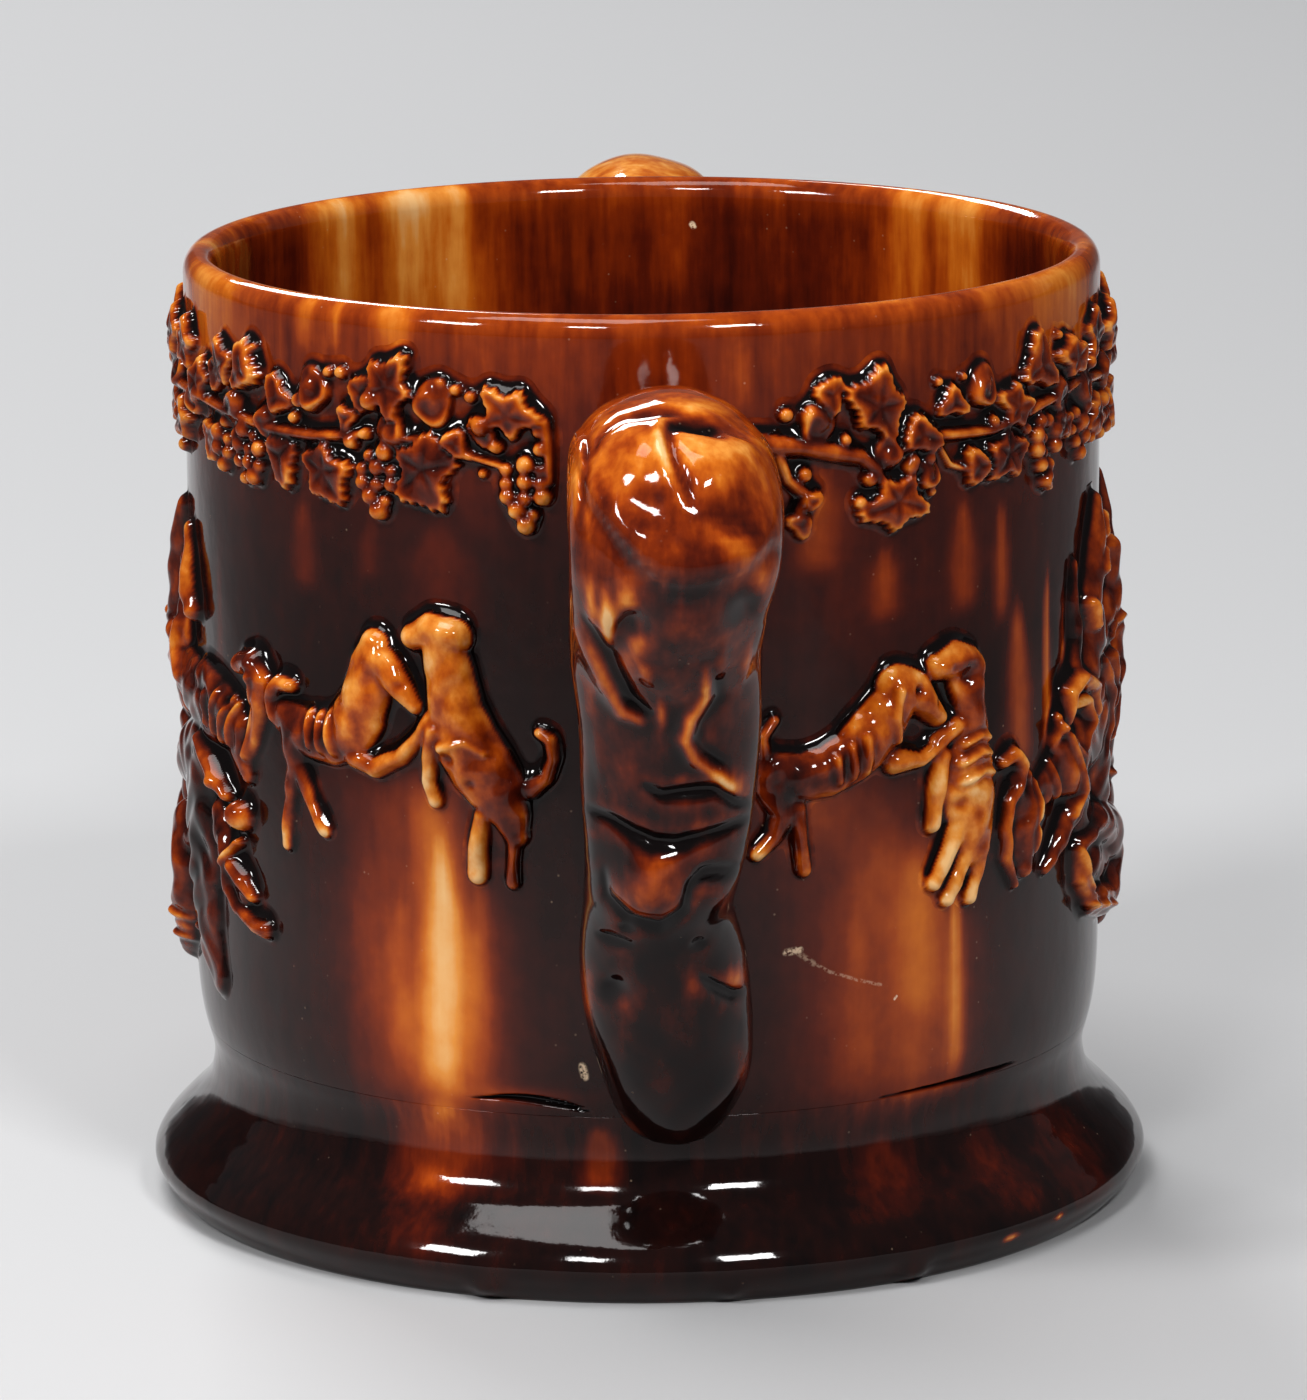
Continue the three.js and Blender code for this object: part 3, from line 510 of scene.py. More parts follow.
# Small chips that show the buff clay: angle, height, half width, half height, how much thinner.
CHIPS = [
    (44.6, 5.4, 1.3, 0.9, 0.9), (53, 6.4, 0.8, 0.7, 0.9), (-71, 2.4, 1, 0.8, 0.7),
    (140, 3, 1.4, 0.9, 0.8)]

rise = np.append(np.linspace(0, 36, 62), [POT_SEAT - SEAM_RISE, POT_SEAT])
ring_inside = OUTLINE[0, 1] - RING_WIDTH
seat_inside = seat_radius - FOOT_WALL
bend = np.linspace(0, 1, 26)[:, None]
hollow = ((1 - bend) ** 2 * [seat_inside, POT_SEAT] + bend ** 2 * [ring_inside, 0]
          + 2 * bend * (1 - bend) * [seat_inside, POT_SEAT * 0.35])
foot_line = np.concatenate([
    np.stack([smooth_through(OUTLINE, rise), rise], -1),
    [(seat_radius - SEAM_DEPTH, POT_SEAT)],
    np.stack([np.linspace(90, 83, 4), np.full(4, POT_SEAT)], -1), hollow,
    np.stack([np.linspace(ring_inside, OUTLINE[0, 1], 9)[1:-1], np.zeros(7)], -1)])
radius, height = foot_line[:, :1], foot_line[:, 1:]
outer = (np.arange(len(foot_line)) < len(rise))[:, None]
sway = wall_radius(angles, height) - smooth_through(OUTLINE, height)
hang = sum(size * np.exp(-(((angles - middle + 180) % 360 - 180) * 1.8 / width) ** 2)
           for middle, width, size in DRIPS) * np.exp(-((height - DRIP_HEIGHT) / 2.2) ** 2)
rings = round_pot(radius + (sway + hang) * outer, angles, height).reshape(-1, 3)
depth = np.where(outer, glaze_outside(angles, height) - bells(signed, height, CHIPS), HIDDEN_DEPTH)
closed = grid_faces(len(foot_line) + 1, COLUMNS) % len(rings)
foot = fired("foot_ring", rings, [closed], "foot_glaze", depth=depth)
foot.data.materials.append(treacle_glaze("foot_glaze", streaks=0.8))
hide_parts("foot")

# ---------------------------------------------------------------------------------------------
# Vine: four sprays of leaves, buds and grapes under the lip, each pressed in one mould and luted
# on. The glaze has left their edges tan and lies black between the leaves.

GRAIN = 0.36  # between the points of a relief
TOOTH = 0.08  # of a leaf's edge, as a share of its size
GRAPE, BUD_RISE = 2.0, 3.6
VINE_BAND = (146, 193)
MM_PER_DEGREE = np.radians(WALL_RADIUS)
FILLET = 0.5  # of glaze between a relief and the wall
SUNK = 1.0  # how far a relief's back lies inside the wall


def unrolled(left, right, low, high):
    """The wall unrolled as a flat grid: millimetres round it from the front, and heights."""
    columns = np.arange(left * MM_PER_DEGREE, right * MM_PER_DEGREE, GRAIN)
    return np.meshgrid(columns, np.arange(low, high, GRAIN))


def softened(field, reach):
    """The field averaged with its neighbours, by weights that fall off as a bell of that reach."""
    taps = np.arange(-int(3 * reach / GRAIN), int(3 * reach / GRAIN) + 1)
    weights = np.exp(-0.5 * (taps * GRAIN / reach) ** 2)
    weights /= weights.sum()
    for axis in (0, 1):
        margins = [(len(taps) // 2,) * 2 if a == axis else (0, 0) for a in (0, 1)]
        wide = np.pad(field, margins, mode="edge")
        field = sum(weight * np.take(wide, np.arange(field.shape[axis]) + k, axis=axis)
                    for k, weight in enumerate(weights))
    return field


def melted(a, b, reach):
    """The higher of two surfaces, with the corner between them filled over that reach."""
    return np.maximum(a, b) + np.maximum(reach - np.abs(a - b), 0) ** 2 / (4 * reach)


def from_line(grid, path):
    """Distance of every point of the grid from a line through stations, and the stations' further
    values, carried evenly along the nearest stretch."""
    path = np.array(path, float)
    at = path[:, :2] * [MM_PER_DEGREE, 1]
    nearest = np.full(grid[0].shape, 1e9)
    carried = np.zeros((path.shape[1] - 2, *grid[0].shape))
    for k in range(len(path) - 1):
        along = at[k + 1] - at[k]
        dx, dz = grid[0] - at[k, 0], grid[1] - at[k, 1]
        share = np.clip((dx * along[0] + dz * along[1]) / (along @ along), 0, 1)
        away = np.hypot(dx - share * along[0], dz - share * along[1])
        closer = away < nearest
        nearest = np.where(closer, away, nearest)
        for n in range(len(carried)):
            value = path[k, n + 2] + share * (path[k + 1, n + 2] - path[k, n + 2])
            carried[n] = np.where(closer, value, carried[n])
    return nearest, carried


def limb(grid, path):
    """A rounded limb or stem: at share s of its half width it stands rise * (1 - s^2)^0.6 high,
    and beyond its edge the surface falls away into the wall."""
    away, (half_width, rise) = from_line(grid, path)
    s = away / half_width
    return np.where(s < 1, rise * np.clip(1 - s * s, 0, 1) ** 0.6, half_width - away)


def ball(grid, angle, height, size, rise):
    """A grape, berry or bud: half a ball of that size, its foot at rise - size."""
    away = np.hypot(grid[0] - angle * MM_PER_DEGREE, grid[1] - height)
    dome = rise - size + np.sqrt(np.clip(size ** 2 - away ** 2, 0, None))
    return np.where(away < size, dome, size - away)


def leaf(grid, angle, height, size, tip, rise, lobes, cut):
    """A vine leaf in polar form round the end of its stalk. Its outline has a broad lobe in each of
    the given number of directions, b = |sin| of half that many turns being 0 on a lobe and 1 in a
    notch, small teeth, and two slow waves that tell one leaf from the next. Its blade leans a
    little, swells between the veins and turns up at the rim."""
    dx, dz = grid[0] - angle * MM_PER_DEGREE, grid[1] - height
    away, turn = np.hypot(dx, dz), np.arctan2(dz, dx) - np.radians(tip)
    between = np.abs(np.sin(turn * lobes / 2))
    edge = size * (1 - 0.8 * cut * between ** 1.6) * (0.90 + 0.10 * np.cos(turn))
    teeth = TOOTH * (1 - 2 * np.abs(np.sin(turn * lobes * 2.5 + 0.8)))
    edge = edge * (1 + teeth + 0.13 * np.sin(2 * turn + size * 5)
                   + 0.07 * np.sin(3 * turn + size * 11))
    s = away / edge
    pitch = 2 * np.pi / lobes
    off_vein = away * np.abs(np.sin((turn + pitch / 2) % pitch - pitch / 2))
    plate = rise * np.clip(1 - s ** 10, 0, 1) ** 0.5
    lean = 0.055 * (dx * np.cos(size * 9) + dz * np.sin(size * 9))
    rim = 0.5 * np.exp(-((s - 0.90) / 0.07) ** 2)
    swell = 0.9 * between * s * np.clip(1 - s, 0, 1)
    vein = 0.24 * np.exp(-(off_vein / 0.42) ** 2) * smooth_step(0.95, 0.5, s)
    ripple = 0.34 * np.sin(dx / 1.7 + dz / 2.3 + tip) * smooth_step(0.1, 0.5, s)
    blade = plate + lean + rim + swell - vein + ripple
    return np.where(s < 1, np.maximum(blade, 0.3), (1 - s) * edge)


def curl(grid, angle, height, size, turn):
    """A young leaf rolled up: a hook-shaped fold round an uneven dome, highest along a spiral."""
    dx, dz = grid[0] - angle * MM_PER_DEGREE, grid[1] - height
    round_it = np.arctan2(dz, dx) - np.radians(turn)
    edge = size * (0.92 + 0.2 * np.cos(round_it) + 0.08 * np.cos(3 * round_it))
    s = np.hypot(dx, dz * 0.85) / edge
    spiral = 0.24 * np.cos(round_it - 3.8 * s) * smooth_step(0, 0.6, s)
    dome = BUD_RISE * np.clip(1 - s ** 5, 0, 1) ** 0.5 * (0.82 + spiral)
    return np.where(s < 1, dome, (1 - s) * size)


def bunch(grid, angle, height, rows):
    """Grapes in staggered rows that hang from one point, one row number for each row."""
    fruit = np.full(grid[0].shape, -9.0)
    for row, number in enumerate(rows):
        for k in range(number):
            wander = 0.6 * np.sin(7.1 * row + 3.3 * k + angle)
            aside = (k - (number - 1) / 2) * GRAPE * 1.72 / MM_PER_DEGREE + 0.3 * wander
            grape = ball(grid, angle + aside, height - row * GRAPE * 1.5 + wander,
                         GRAPE * (0.92 + 0.2 * wander), BUD_RISE - 0.5 + wander)
            fruit = np.maximum(fruit, grape)
    return fruit


def luted(name, node, slot, glaze, grid, clay, tops, edges, pool, stains):
    """Two casts of a relief in place on the wall, at the front and half way round. Glaze levels
    them: the surface is the higher of the pressed clay and of a softened copy of it that fills the
    hollows and the foot of every edge. It is trimmed where it meets the wall and closed by a back
    inside the wall. tops and edges say how deep the glaze lies on flat tops and how much thinner
    on sharp rises, pool how far it gathers, and stains where it is deeper or, with a minus,
    thinner: angle, height, half width, half height, how much."""
    border = np.minimum(grid[0] - grid[0].min(), grid[0].max() - grid[0])
    clay = np.minimum(softened(clay, 0.32), 2 * border - 0.6)
    stand = np.maximum(clay, 0)
    above = np.roll(stand, int(1.1 / GRAIN), axis=0)
    level = softened(0.45 * stand + 0.55 * above, pool) * 0.86 - 0.42
    surface = melted(melted(clay, level, FILLET), 0 * clay, FILLET) - 0.035
    ridge = clay - softened(stand, 1.0)
    on_clay = smooth_step(0.5, 1.7, clay) * smooth_step(-0.25, 0.25, clay - level)
    overhead = softened(np.roll(stand, int(2.4 / GRAIN), axis=0), 0.8)
    upstream = smooth_step(-0.5, 0.9, overhead - softened(stand, 0.8))
    gathering = np.maximum(upstream, 0.35 + 0.65 * smooth_step(0.8, 2.2, surface))
    across, height = grid[0] / MM_PER_DEGREE, grid[1]
    on_top = tops + bells(across, height, stains) - edges * np.clip(ridge, -0.8, 0.9)

    at = np.arange(clay.size).reshape(clay.shape)
    cells = np.stack([at[:-1, :-1], at[:-1, 1:], at[1:, 1:], at[1:, :-1]], -1).reshape(-1, 4)
    cells = cells[(surface.ravel()[cells] > -0.03).any(axis=1)]
    used, cells = np.unique(cells, return_inverse=True)
    cells = cells.reshape(-1, 4)
    count = len(used)
    edge = np.concatenate([cells[:, [k, (k + 1) % 4]] for k in range(4)])
    rim = edge[~np.isin(edge[:, 0] * count + edge[:, 1], edge[:, 1] * count + edge[:, 0])]
    sides = np.stack([rim[:, 1], rim[:, 0], rim[:, 0] + count, rim[:, 1] + count], -1)
    faces = [cells, cells[:, ::-1] + count, sides]

    for side, turn in (("front", 0), ("back", 180)):
        bare = glaze_outside(across + turn, height)
        gathered = bare + (1.03 - bare) * gathering
        depth = gathered + (on_top - gathered) * on_clay
        depth = bare + (depth - bare) * smooth_step(0.03, 0.45, surface)
        angle, high = (across + turn).ravel()[used], height.ravel()[used]
        wall = wall_radius(angle, high)
        stands = surface.ravel()[used]
        points = np.concatenate([round_pot(r, angle, high) for r in (wall + stands, wall - SUNK)])
        piece = fired(f"{name}_{side}", points, faces, slot, depth=np.tile(depth.ravel()[used], 2))
        piece.data.materials.append(glaze)
        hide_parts(f"{node}_{side}")


# The left spray. Leaves: angle, height, size, the way the tip points, lobes and depth of the cuts.
# Curls: angle, height, size and turn. Balls: angle, height, size and rise. Bunches: angle, height
# and the grapes in each row. Stems: lines of angle, height, half width and rise.
LEFT_LEAVES = [
    (-26.5, 167.6, 9.4, -62, 5, 0.34), (-31.2, 183.2, 7.6, 60, 5, 0.42),
    (-35, 181.6, 4.6, 150, 3, 0.3), (-15.8, 179.4, 7.2, 62, 5, 0.42),
    (-18.8, 175.6, 4.4, 170, 3, 0.3), (-40.6, 165, 7.8, -58, 5, 0.34),
    (-48, 166.6, 6.6, -80, 3, 0.42), (-48.6, 178, 5.2, 110, 3, 0.4),
    (-55.2, 182.2, 6.8, 95, 3, 0.5), (-62, 181, 7, 100, 5, 0.36), (-67.6, 177, 6, 160, 5, 0.4),
    (-64.6, 166.6, 5.2, -95, 3, 0.45), (-74.4, 182.6, 6.6, 80, 5, 0.45),
    (-81.6, 183, 7, 90, 5, 0.4), (-84.6, 169, 6.2, -90, 5, 0.36), (-74.8, 167.8, 5.6, -70, 5, 0.4),
    (-37.4, 176, 3.6, 20, 3, 0.35), (-22.4, 173, 3.6, 60, 3, 0.2)]
LEFT_CURLS = [
    (-25.6, 180, 4.8, 60), (-42.6, 180.2, 4.6, 120), (-30.6, 175, 4, 200), (-51.4, 172.6, 3.4, 40),
    (-58.4, 174.4, 4, 300), (-70.6, 172.4, 4.2, 80), (-87, 178, 4.4, 10), (-79.6, 175.6, 3.8, 140)]
LEFT_BALLS = [
    (-33.4, 180.4, 2.2, 4.8), (-19, 177, 2.1, 4.6), (-38.4, 185, 1.5, 2.6),
    (-40.4, 184.8, 1.3, 2.4), (-42.6, 184.2, 1.2, 2.2), (-44.8, 178.4, 1.8, 3.6),
    (-24.4, 184.8, 1.4, 2.4), (-22.4, 183.6, 1.3, 2.6), (-20.6, 182.4, 1.4, 2.6),
    (-12, 172.6, 1.7, 3.2), (-12.2, 176.2, 1.5, 3.2), (-17.4, 172.8, 1.5, 3.4),
    (-19.2, 167.2, 1.1, 2.4), (-36.6, 171.6, 1.8, 3.6), (-34.6, 173.4, 1.4, 3.2),
    (-46, 174.6, 1.4, 3), (-53.8, 187.2, 1.2, 2.2), (-57.8, 168.4, 1.6, 3), (-60.6, 170.4, 1.5, 3),
    (-20.8, 170.6, 1.1, 2.8)]
LEFT_BUNCHES = [
    (-14, 168.8, (3, 3, 3, 2, 1)), (-33, 169.6, (2, 3, 3, 2, 1)), (-55, 169.4, (2, 3, 3, 2)),
    (-61.4, 167.4, (2, 2, 1)), (-78.6, 170, (2, 3, 2, 1))]
LEFT_STEMS = [
    [(-90, 176, 1.8, 2.6), (-80, 173.4, 1.7, 2.8), (-68, 173.6, 1.5, 2.6), (-58, 172.4, 1.5, 2.8),
     (-49, 171.4, 1.6, 3), (-42, 171.6, 1.5, 3), (-35, 173.2, 1.3, 2.8)],
    [(-32, 172.6, 1.2, 2.6), (-26, 173.6, 1.1, 2.6), (-20, 170.2, 0.9, 2.4), (-17, 169, 0.9, 2.4)],
    [(-11.6, 178, 1.4, 3), (-11.2, 173, 1.3, 2.8), (-11, 166, 1, 2.2)]]

# The right spray, in the same way.
RIGHT_LEAVES = [
    (28.6, 178.8, 8.8, 80, 5, 0.36), (31, 159.6, 8.4, -92, 5, 0.42), (22.6, 182, 4.6, 160, 3, 0.3),
    (34.2, 172.4, 5.4, -20, 3, 0.3), (39.6, 177.4, 4.8, 95, 3, 0.5),
    (48.4, 165.6, 7.4, -60, 5, 0.34), (50.4, 174.4, 6.2, 80, 5, 0.42),
    (55.6, 181.4, 7.6, 88, 3, 0.5), (64, 181, 6.2, 100, 5, 0.4), (73, 183, 6.8, 80, 5, 0.45),
    (81.6, 182, 6.6, 95, 5, 0.4), (83, 167.6, 6.8, -90, 3, 0.45), (72.6, 167.2, 5.6, -80, 5, 0.4),
    (43.2, 164.4, 5, -120, 3, 0.42), (18.6, 156.6, 3.8, -75, 3, 0.45),
    (19.8, 161.2, 2.8, 20, 3, 0.3), (61.4, 168.4, 5, -60, 5, 0.4)]
RIGHT_CURLS = [
    (20.4, 176.4, 4.2, 0), (44.6, 179, 4.4, 80), (30.2, 169.6, 3.6, 220), (57.4, 157.6, 2.6, 60),
    (60.4, 174.6, 3.8, 20), (68, 174, 4.2, 130), (87, 176.6, 4.4, 200), (77.4, 174.6, 4, 40),
    (35.8, 163.6, 3.4, 100)]
RIGHT_BALLS = [
    (33.4, 167.2, 1.7, 3.4), (35.8, 167.4, 1.6, 3.2), (19.2, 166.4, 1.7, 3),
    (36.4, 160.4, 1.2, 2.4), (27.6, 164.6, 1.8, 3.2), (26.4, 159.8, 1.6, 2.8),
    (37.6, 182.2, 1.2, 2.2), (41.6, 182.4, 1.1, 2), (17, 178.6, 1.6, 2.8), (24.4, 172.8, 1.4, 3),
    (52.6, 169.4, 1.5, 3), (46.4, 172.4, 1.5, 3), (70.2, 178.4, 1.8, 3.4), (66.4, 166, 1.4, 2.8),
    (71.6, 162.4, 1.4, 2.6), (61, 186.4, 1.2, 2.2)]
RIGHT_BUNCHES = [
    (56.8, 170, (2, 3, 3, 2, 1)), (66.8, 169.6, (2, 3, 2, 1)), (77.6, 168.4, (2, 3, 2)),
    (34, 165.8, (2, 2))]
RIGHT_STEMS = [
    [(12.6, 173.4, 2.8, 3.4), (16, 172.6, 2.5, 3.6), (19, 172, 2.1, 3.2), (22.6, 170.6, 2.3, 3.6),
     (26.4, 169, 1.9, 3.2), (28.4, 166.2, 1.7, 3), (29.4, 162.6, 1.3, 2.6)],
    [(16, 170.6, 1.5, 3), (17.2, 165.6, 1.4, 2.8), (19.4, 162.2, 1.7, 3.2),
     (18.6, 158.6, 1.6, 2.8)],
    [(31, 169.4, 1.4, 2.8), (38, 171.4, 1.4, 2.8), (46, 170.6, 1.4, 2.8), (56, 173.4, 1.5, 2.8),
     (66, 175.4, 1.5, 2.6), (78, 174, 1.6, 2.8), (90, 177, 1.7, 2.6)],
    [(37.4, 169.4, 1, 2.4), (39.2, 165.2, 0.9, 2.2), (42.2, 163.4, 0.9, 2.2)]]

# Darker and paler places on the vine: angle, height, half width, half height, how much deeper.
VINE_STAINS = [
    (-26.5, 167, 4, 6, 0.06), (-21, 177, 4, 4, 0.08), (-14, 164, 3, 8, -0.06),
    (-16, 180, 3, 4, -0.08), (-31, 184, 3, 5, -0.02), (-44, 168, 6, 5, 0.16), (-60, 176, 8, 6, 0.1),
    (-80, 176, 8, 8, 0.06), (-37, 181, 3, 3, -0.06), (28.6, 180, 3, 5, -0.04),
    (24, 168, 4, 4, 0.12), (31, 158, 4, 4, -0.08), (48, 168, 5, 5, 0.16), (44, 178, 4, 4, -0.02),
    (62, 176, 7, 6, 0.1), (80, 176, 8, 8, 0.04)]


def spray(grid, leaves, curls, balls, bunches, stems):
    """All the parts of one spray, the highest of them at every point."""
    parts = [limb(grid, path) for path in stems]
    parts += [leaf(grid, *place, 3.1 + 0.6 * np.sin(2.6 * k), lobes, cut)
              for k, (*place, lobes, cut) in enumerate(leaves)]
    parts += [make(grid, *row) for make, rows in ((curl, curls), (ball, balls), (bunch, bunches))
              for row in rows]
    clay = parts[0]
    for part in parts[1:]:
        clay = melted(clay, part, 0.25)
    return clay


vine_glaze = treacle_glaze("vine_glaze", streaks=0.15, mottled=0.65)
left_spray = LEFT_LEAVES, LEFT_CURLS, LEFT_BALLS, LEFT_BUNCHES, LEFT_STEMS
right_spray = RIGHT_LEAVES, RIGHT_CURLS, RIGHT_BALLS, RIGHT_BUNCHES, RIGHT_STEMS
for hand, reach, lists in ("left", (-90, -8), left_spray), ("right", (10.5, 90), right_spray):
    grid = unrolled(*reach, *VINE_BAND)
    luted(f"spray_{hand}", f"vine_{hand}", "vine_glaze", vine_glaze, grid, spray(grid, *lists),
          tops=0.66, edges=0.50, pool=1.35, stains=VINE_STAINS)

# ---------------------------------------------------------------------------------------------
# Hounds: two pairs on each side, pressed in moulds and luted on. Thin glaze leaves their backs
# and flanks amber and straw, and it has gathered black along their upper edges.

HOUND_BAND = (70, 143)
# Limbs: lines of angle, height, half width and rise. Ribs: lines of angle and height. Hollows:
# angle, height, size and depth.
LEFT_HOUNDS = [
    [(-48.8, 112.5, 4.6, 3.4), (-45, 110.5, 5.6, 4), (-41, 110.5, 6.2, 4.3), (-38, 112.5, 6.6, 4.8),
     (-36, 117, 6.4, 5.2), (-35, 122, 6, 5.2), (-34.5, 127, 5, 4.8), (-33.8, 130.6, 4, 4.2)],
    [(-33.6, 128.4, 4.6, 5), (-31.6, 125.8, 4, 4.8), (-29.8, 122.2, 3, 4.4),
     (-28.4, 119.4, 2.2, 3.6)],
    [(-47.6, 110, 4.4, 3.8), (-47.2, 103, 3.2, 3.2), (-48.4, 96, 1.9, 2.6), (-49, 90, 1.5, 2.4),
     (-49.3, 86.2, 1.8, 2.2)],
    [(-46.4, 102, 2.6, 2.6), (-44.4, 96, 1.7, 2.6), (-42.4, 90.8, 1.9, 2.3)],
    [(-37, 107.6, 3, 3.8), (-34, 105.8, 2.5, 3.6), (-30.4, 108.6, 2.1, 3.4),
     (-27.6, 113.6, 1.9, 3.6), (-26.2, 117.2, 1.9, 3.4)],
    [(-50.4, 112.6, 2.2, 3.4), (-51.2, 116.4, 2.3, 3.8), (-49.6, 119.4, 2.3, 4),
     (-47.6, 119.4, 1.8, 3.6)],
    [(-28.4, 133.4, 3, 4), (-25.8, 135, 4.2, 5), (-23.2, 134.2, 4.4, 5)],
    [(-24.6, 133, 5, 5), (-23.6, 126, 5.6, 5), (-23, 119, 6.4, 5), (-21.6, 112.5, 7.4, 5.2),
     (-19.6, 107.5, 7.4, 5), (-17.6, 103, 6.6, 4.6), (-16.2, 98, 4.2, 3.6),
     (-15.6, 94.6, 2.8, 2.8)],
    [(-13.8, 104.2, 2.4, 3), (-11.8, 106.6, 1.7, 3.2), (-10.9, 110.6, 1.5, 3.2),
     (-11.2, 114.2, 1.6, 3.2), (-12.6, 115.6, 1.4, 2.6)],
    [(-25.4, 115, 2.6, 4.6), (-26.4, 109, 2.1, 3.8), (-26.6, 104.5, 1.8, 3.2),
     (-25.8, 100.4, 1.9, 2.8)],
    [(-24.2, 111.8, 2, 5.6), (-21.2, 113.4, 1.7, 5.9), (-18.8, 111.4, 1.5, 5.4)],
    [(-19.8, 98, 2, 3), (-20.4, 91.5, 2.4, 3.2), (-20.5, 86.2, 2.6, 2.8)],
    [(-15.8, 94.4, 1.6, 2.8), (-16, 89, 1.4, 2.6), (-16.1, 84.8, 1.7, 2.6)]]
LEFT_RIBS = [
    [(-43.7, 115.6), (-43.3, 108.4)], [(-42, 115.4), (-41.5, 108)], [(-40.2, 116), (-39.5, 107.8)]]
LEFT_HOLLOWS = [
    (-30.6, 115.4, 2.6, 4.2), (-29.6, 123.6, 0.9, 0.8), (-23.4, 109.6, 1.3, 1.6),
    (-20.6, 105, 1, 1)]
# Where the glaze lies deeper or thinner on them: angle, height, half width, half height, how much.
LEFT_HOUND_STAINS = [
    (-45, 112, 6, 9, 0.26), (-49, 100, 4, 10, 0.3), (-38.5, 113, 2.4, 6, -0.02),
    (-36, 128, 2.6, 3, 0.1), (-46, 95, 3, 8, 0.16), (-30.4, 122, 2.2, 5, 0.1),
    (-27.6, 112, 1.6, 6, 0.06), (-25.6, 135, 3, 2, -0.06), (-22.6, 128, 3.2, 6, 0.02),
    (-19, 113, 2.2, 5, 0.16), (-25, 131, 3, 6, -0.12), (-26.6, 104, 2, 5, -0.12),
    (-20.5, 89, 1.8, 5, -0.14), (-15.6, 104, 3.4, 7, 0.34), (-16, 90, 1.5, 9, 0.42),
    (-11.4, 110, 1.8, 8, 0.4), (-42.4, 96, 1.6, 6, 0.1), (-42.8, 90.6, 1.4, 2.4, -0.14),
    (-49.4, 87, 1.2, 2.4, -0.16), (-50, 117.6, 2.6, 3.6, 0.2), (-38.6, 109, 3.4, 2.6, 0.18),
    (-33.6, 106.6, 3, 1.8, 0.16), (-24.4, 104, 2, 6, 0.04), (-20.6, 88, 1.4, 4, -0.06)]
RIGHT_HOUNDS = [
    [(15.2, 107, 4.6, 3.6), (18.4, 105.6, 5.4, 4), (22, 106.4, 5.7, 4.3), (25.4, 109, 6.2, 4.7),
     (28.2, 113.2, 6.6, 5.1), (30.6, 118, 5.8, 5.1)],
    [(31.4, 121.4, 5.6, 5), (33.6, 120.2, 5, 5), (35.6, 117.2, 3.4, 4.5), (37, 114.6, 2.6, 4)],
    [(30.6, 121.6, 1.7, 6), (29.9, 116, 1.8, 6.1), (30.6, 111.4, 1.4, 5.2)],
    [(31, 106.8, 3.2, 4), (34.4, 106.6, 2.2, 3.7), (37.4, 109, 1.9, 3.4), (39.6, 111.6, 1.8, 3.2)],
    [(15.6, 104, 4.6, 3.6), (16.6, 98.6, 3.2, 3.3), (15.4, 94, 2.1, 3), (13.2, 90.4, 1.7, 2.6)],
    [(18, 99, 2.4, 3), (18.5, 92, 1.8, 2.8), (19, 86.6, 1.9, 2.6)],
    [(14.2, 110.6, 1.7, 3), (13.8, 114.2, 1.5, 3), (15.4, 117.4, 1.4, 2.6)],
    [(37, 124.8, 3.2, 4.5), (39.6, 125.4, 4.6, 5), (41.8, 123.6, 4.8, 5)],
    [(41.4, 122, 4.8, 5), (42.2, 116, 4.4, 4.8), (42.2, 110.6, 5.2, 4.8), (42, 104.6, 6.8, 5.1),
     (42.2, 98.6, 7.6, 5.2), (42.8, 92, 6.6, 4.7), (43, 86.6, 5, 4)],
    [(37.8, 106, 2.7, 4), (36.9, 99, 2.4, 3.6), (36.4, 92.4, 2.1, 3)],
    [(40.6, 92, 3, 4), (38.6, 86, 2.3, 3.6), (36.8, 80.4, 2.2, 3.2)],
    [(42.2, 88, 2.7, 3.8), (40.6, 82, 2.1, 3.3), (38.8, 76.6, 2.1, 3)],
    [(44, 86, 2.5, 3.5), (43.4, 80, 1.9, 3.1), (42.3, 75.8, 1.9, 2.8)],
    [(36.6, 109.4, 1.9, 3.2), (39.8, 112.2, 2.5, 4)]]
RIGHT_RIBS = [
    [(22.6, 109.4), (22.9, 104.4)], [(24.5, 111.2), (24.9, 104.8)], [(26.3, 113), (26.8, 105.4)],
    [(39.4, 104.4), (42.4, 106.4), (44.8, 105.6)], [(39.8, 100.6), (42.8, 102.4), (45.2, 101.4)],
    [(40.2, 108.4), (42.4, 109.8), (44.2, 109)]]
RIGHT_HOLLOWS = [
    (33.4, 121, 1.1, 1.9), (36.4, 117.6, 0.8, 0.9), (34.2, 111, 2.4, 4), (41.2, 122.6, 2.2, 1.4),
    (39.8, 96, 1.6, 1.4), (38.4, 124.6, 0.9, 0.7), (40.6, 121.6, 1.1, 0.9)]
RIGHT_HOUND_STAINS = [
    (17, 106, 5, 7, 0.34), (24, 108, 3, 6, 0.24), (16, 97, 3, 8, 0.34), (19, 90, 1.4, 6, 0.3),
    (30, 118, 2.6, 5, 0.06), (34, 118, 2.4, 4, 0.16), (28.4, 111, 3, 3, 0.22),
    (14.4, 114, 2, 6, 0.36), (34.6, 107.6, 3, 3, 0.14), (40, 125, 3, 2.6, 0.24),
    (42.4, 119, 2.6, 6, 0.34), (42.6, 111, 2.2, 4, 0.16), (37, 99, 1.6, 6, -0.06),
    (42, 96, 3, 6, -0.04), (42, 99, 3, 7, -0.08), (38, 83, 4, 7, -0.12), (43.4, 81, 1.4, 4, 0.08),
    (46, 100, 1.4, 8, 0.1)]


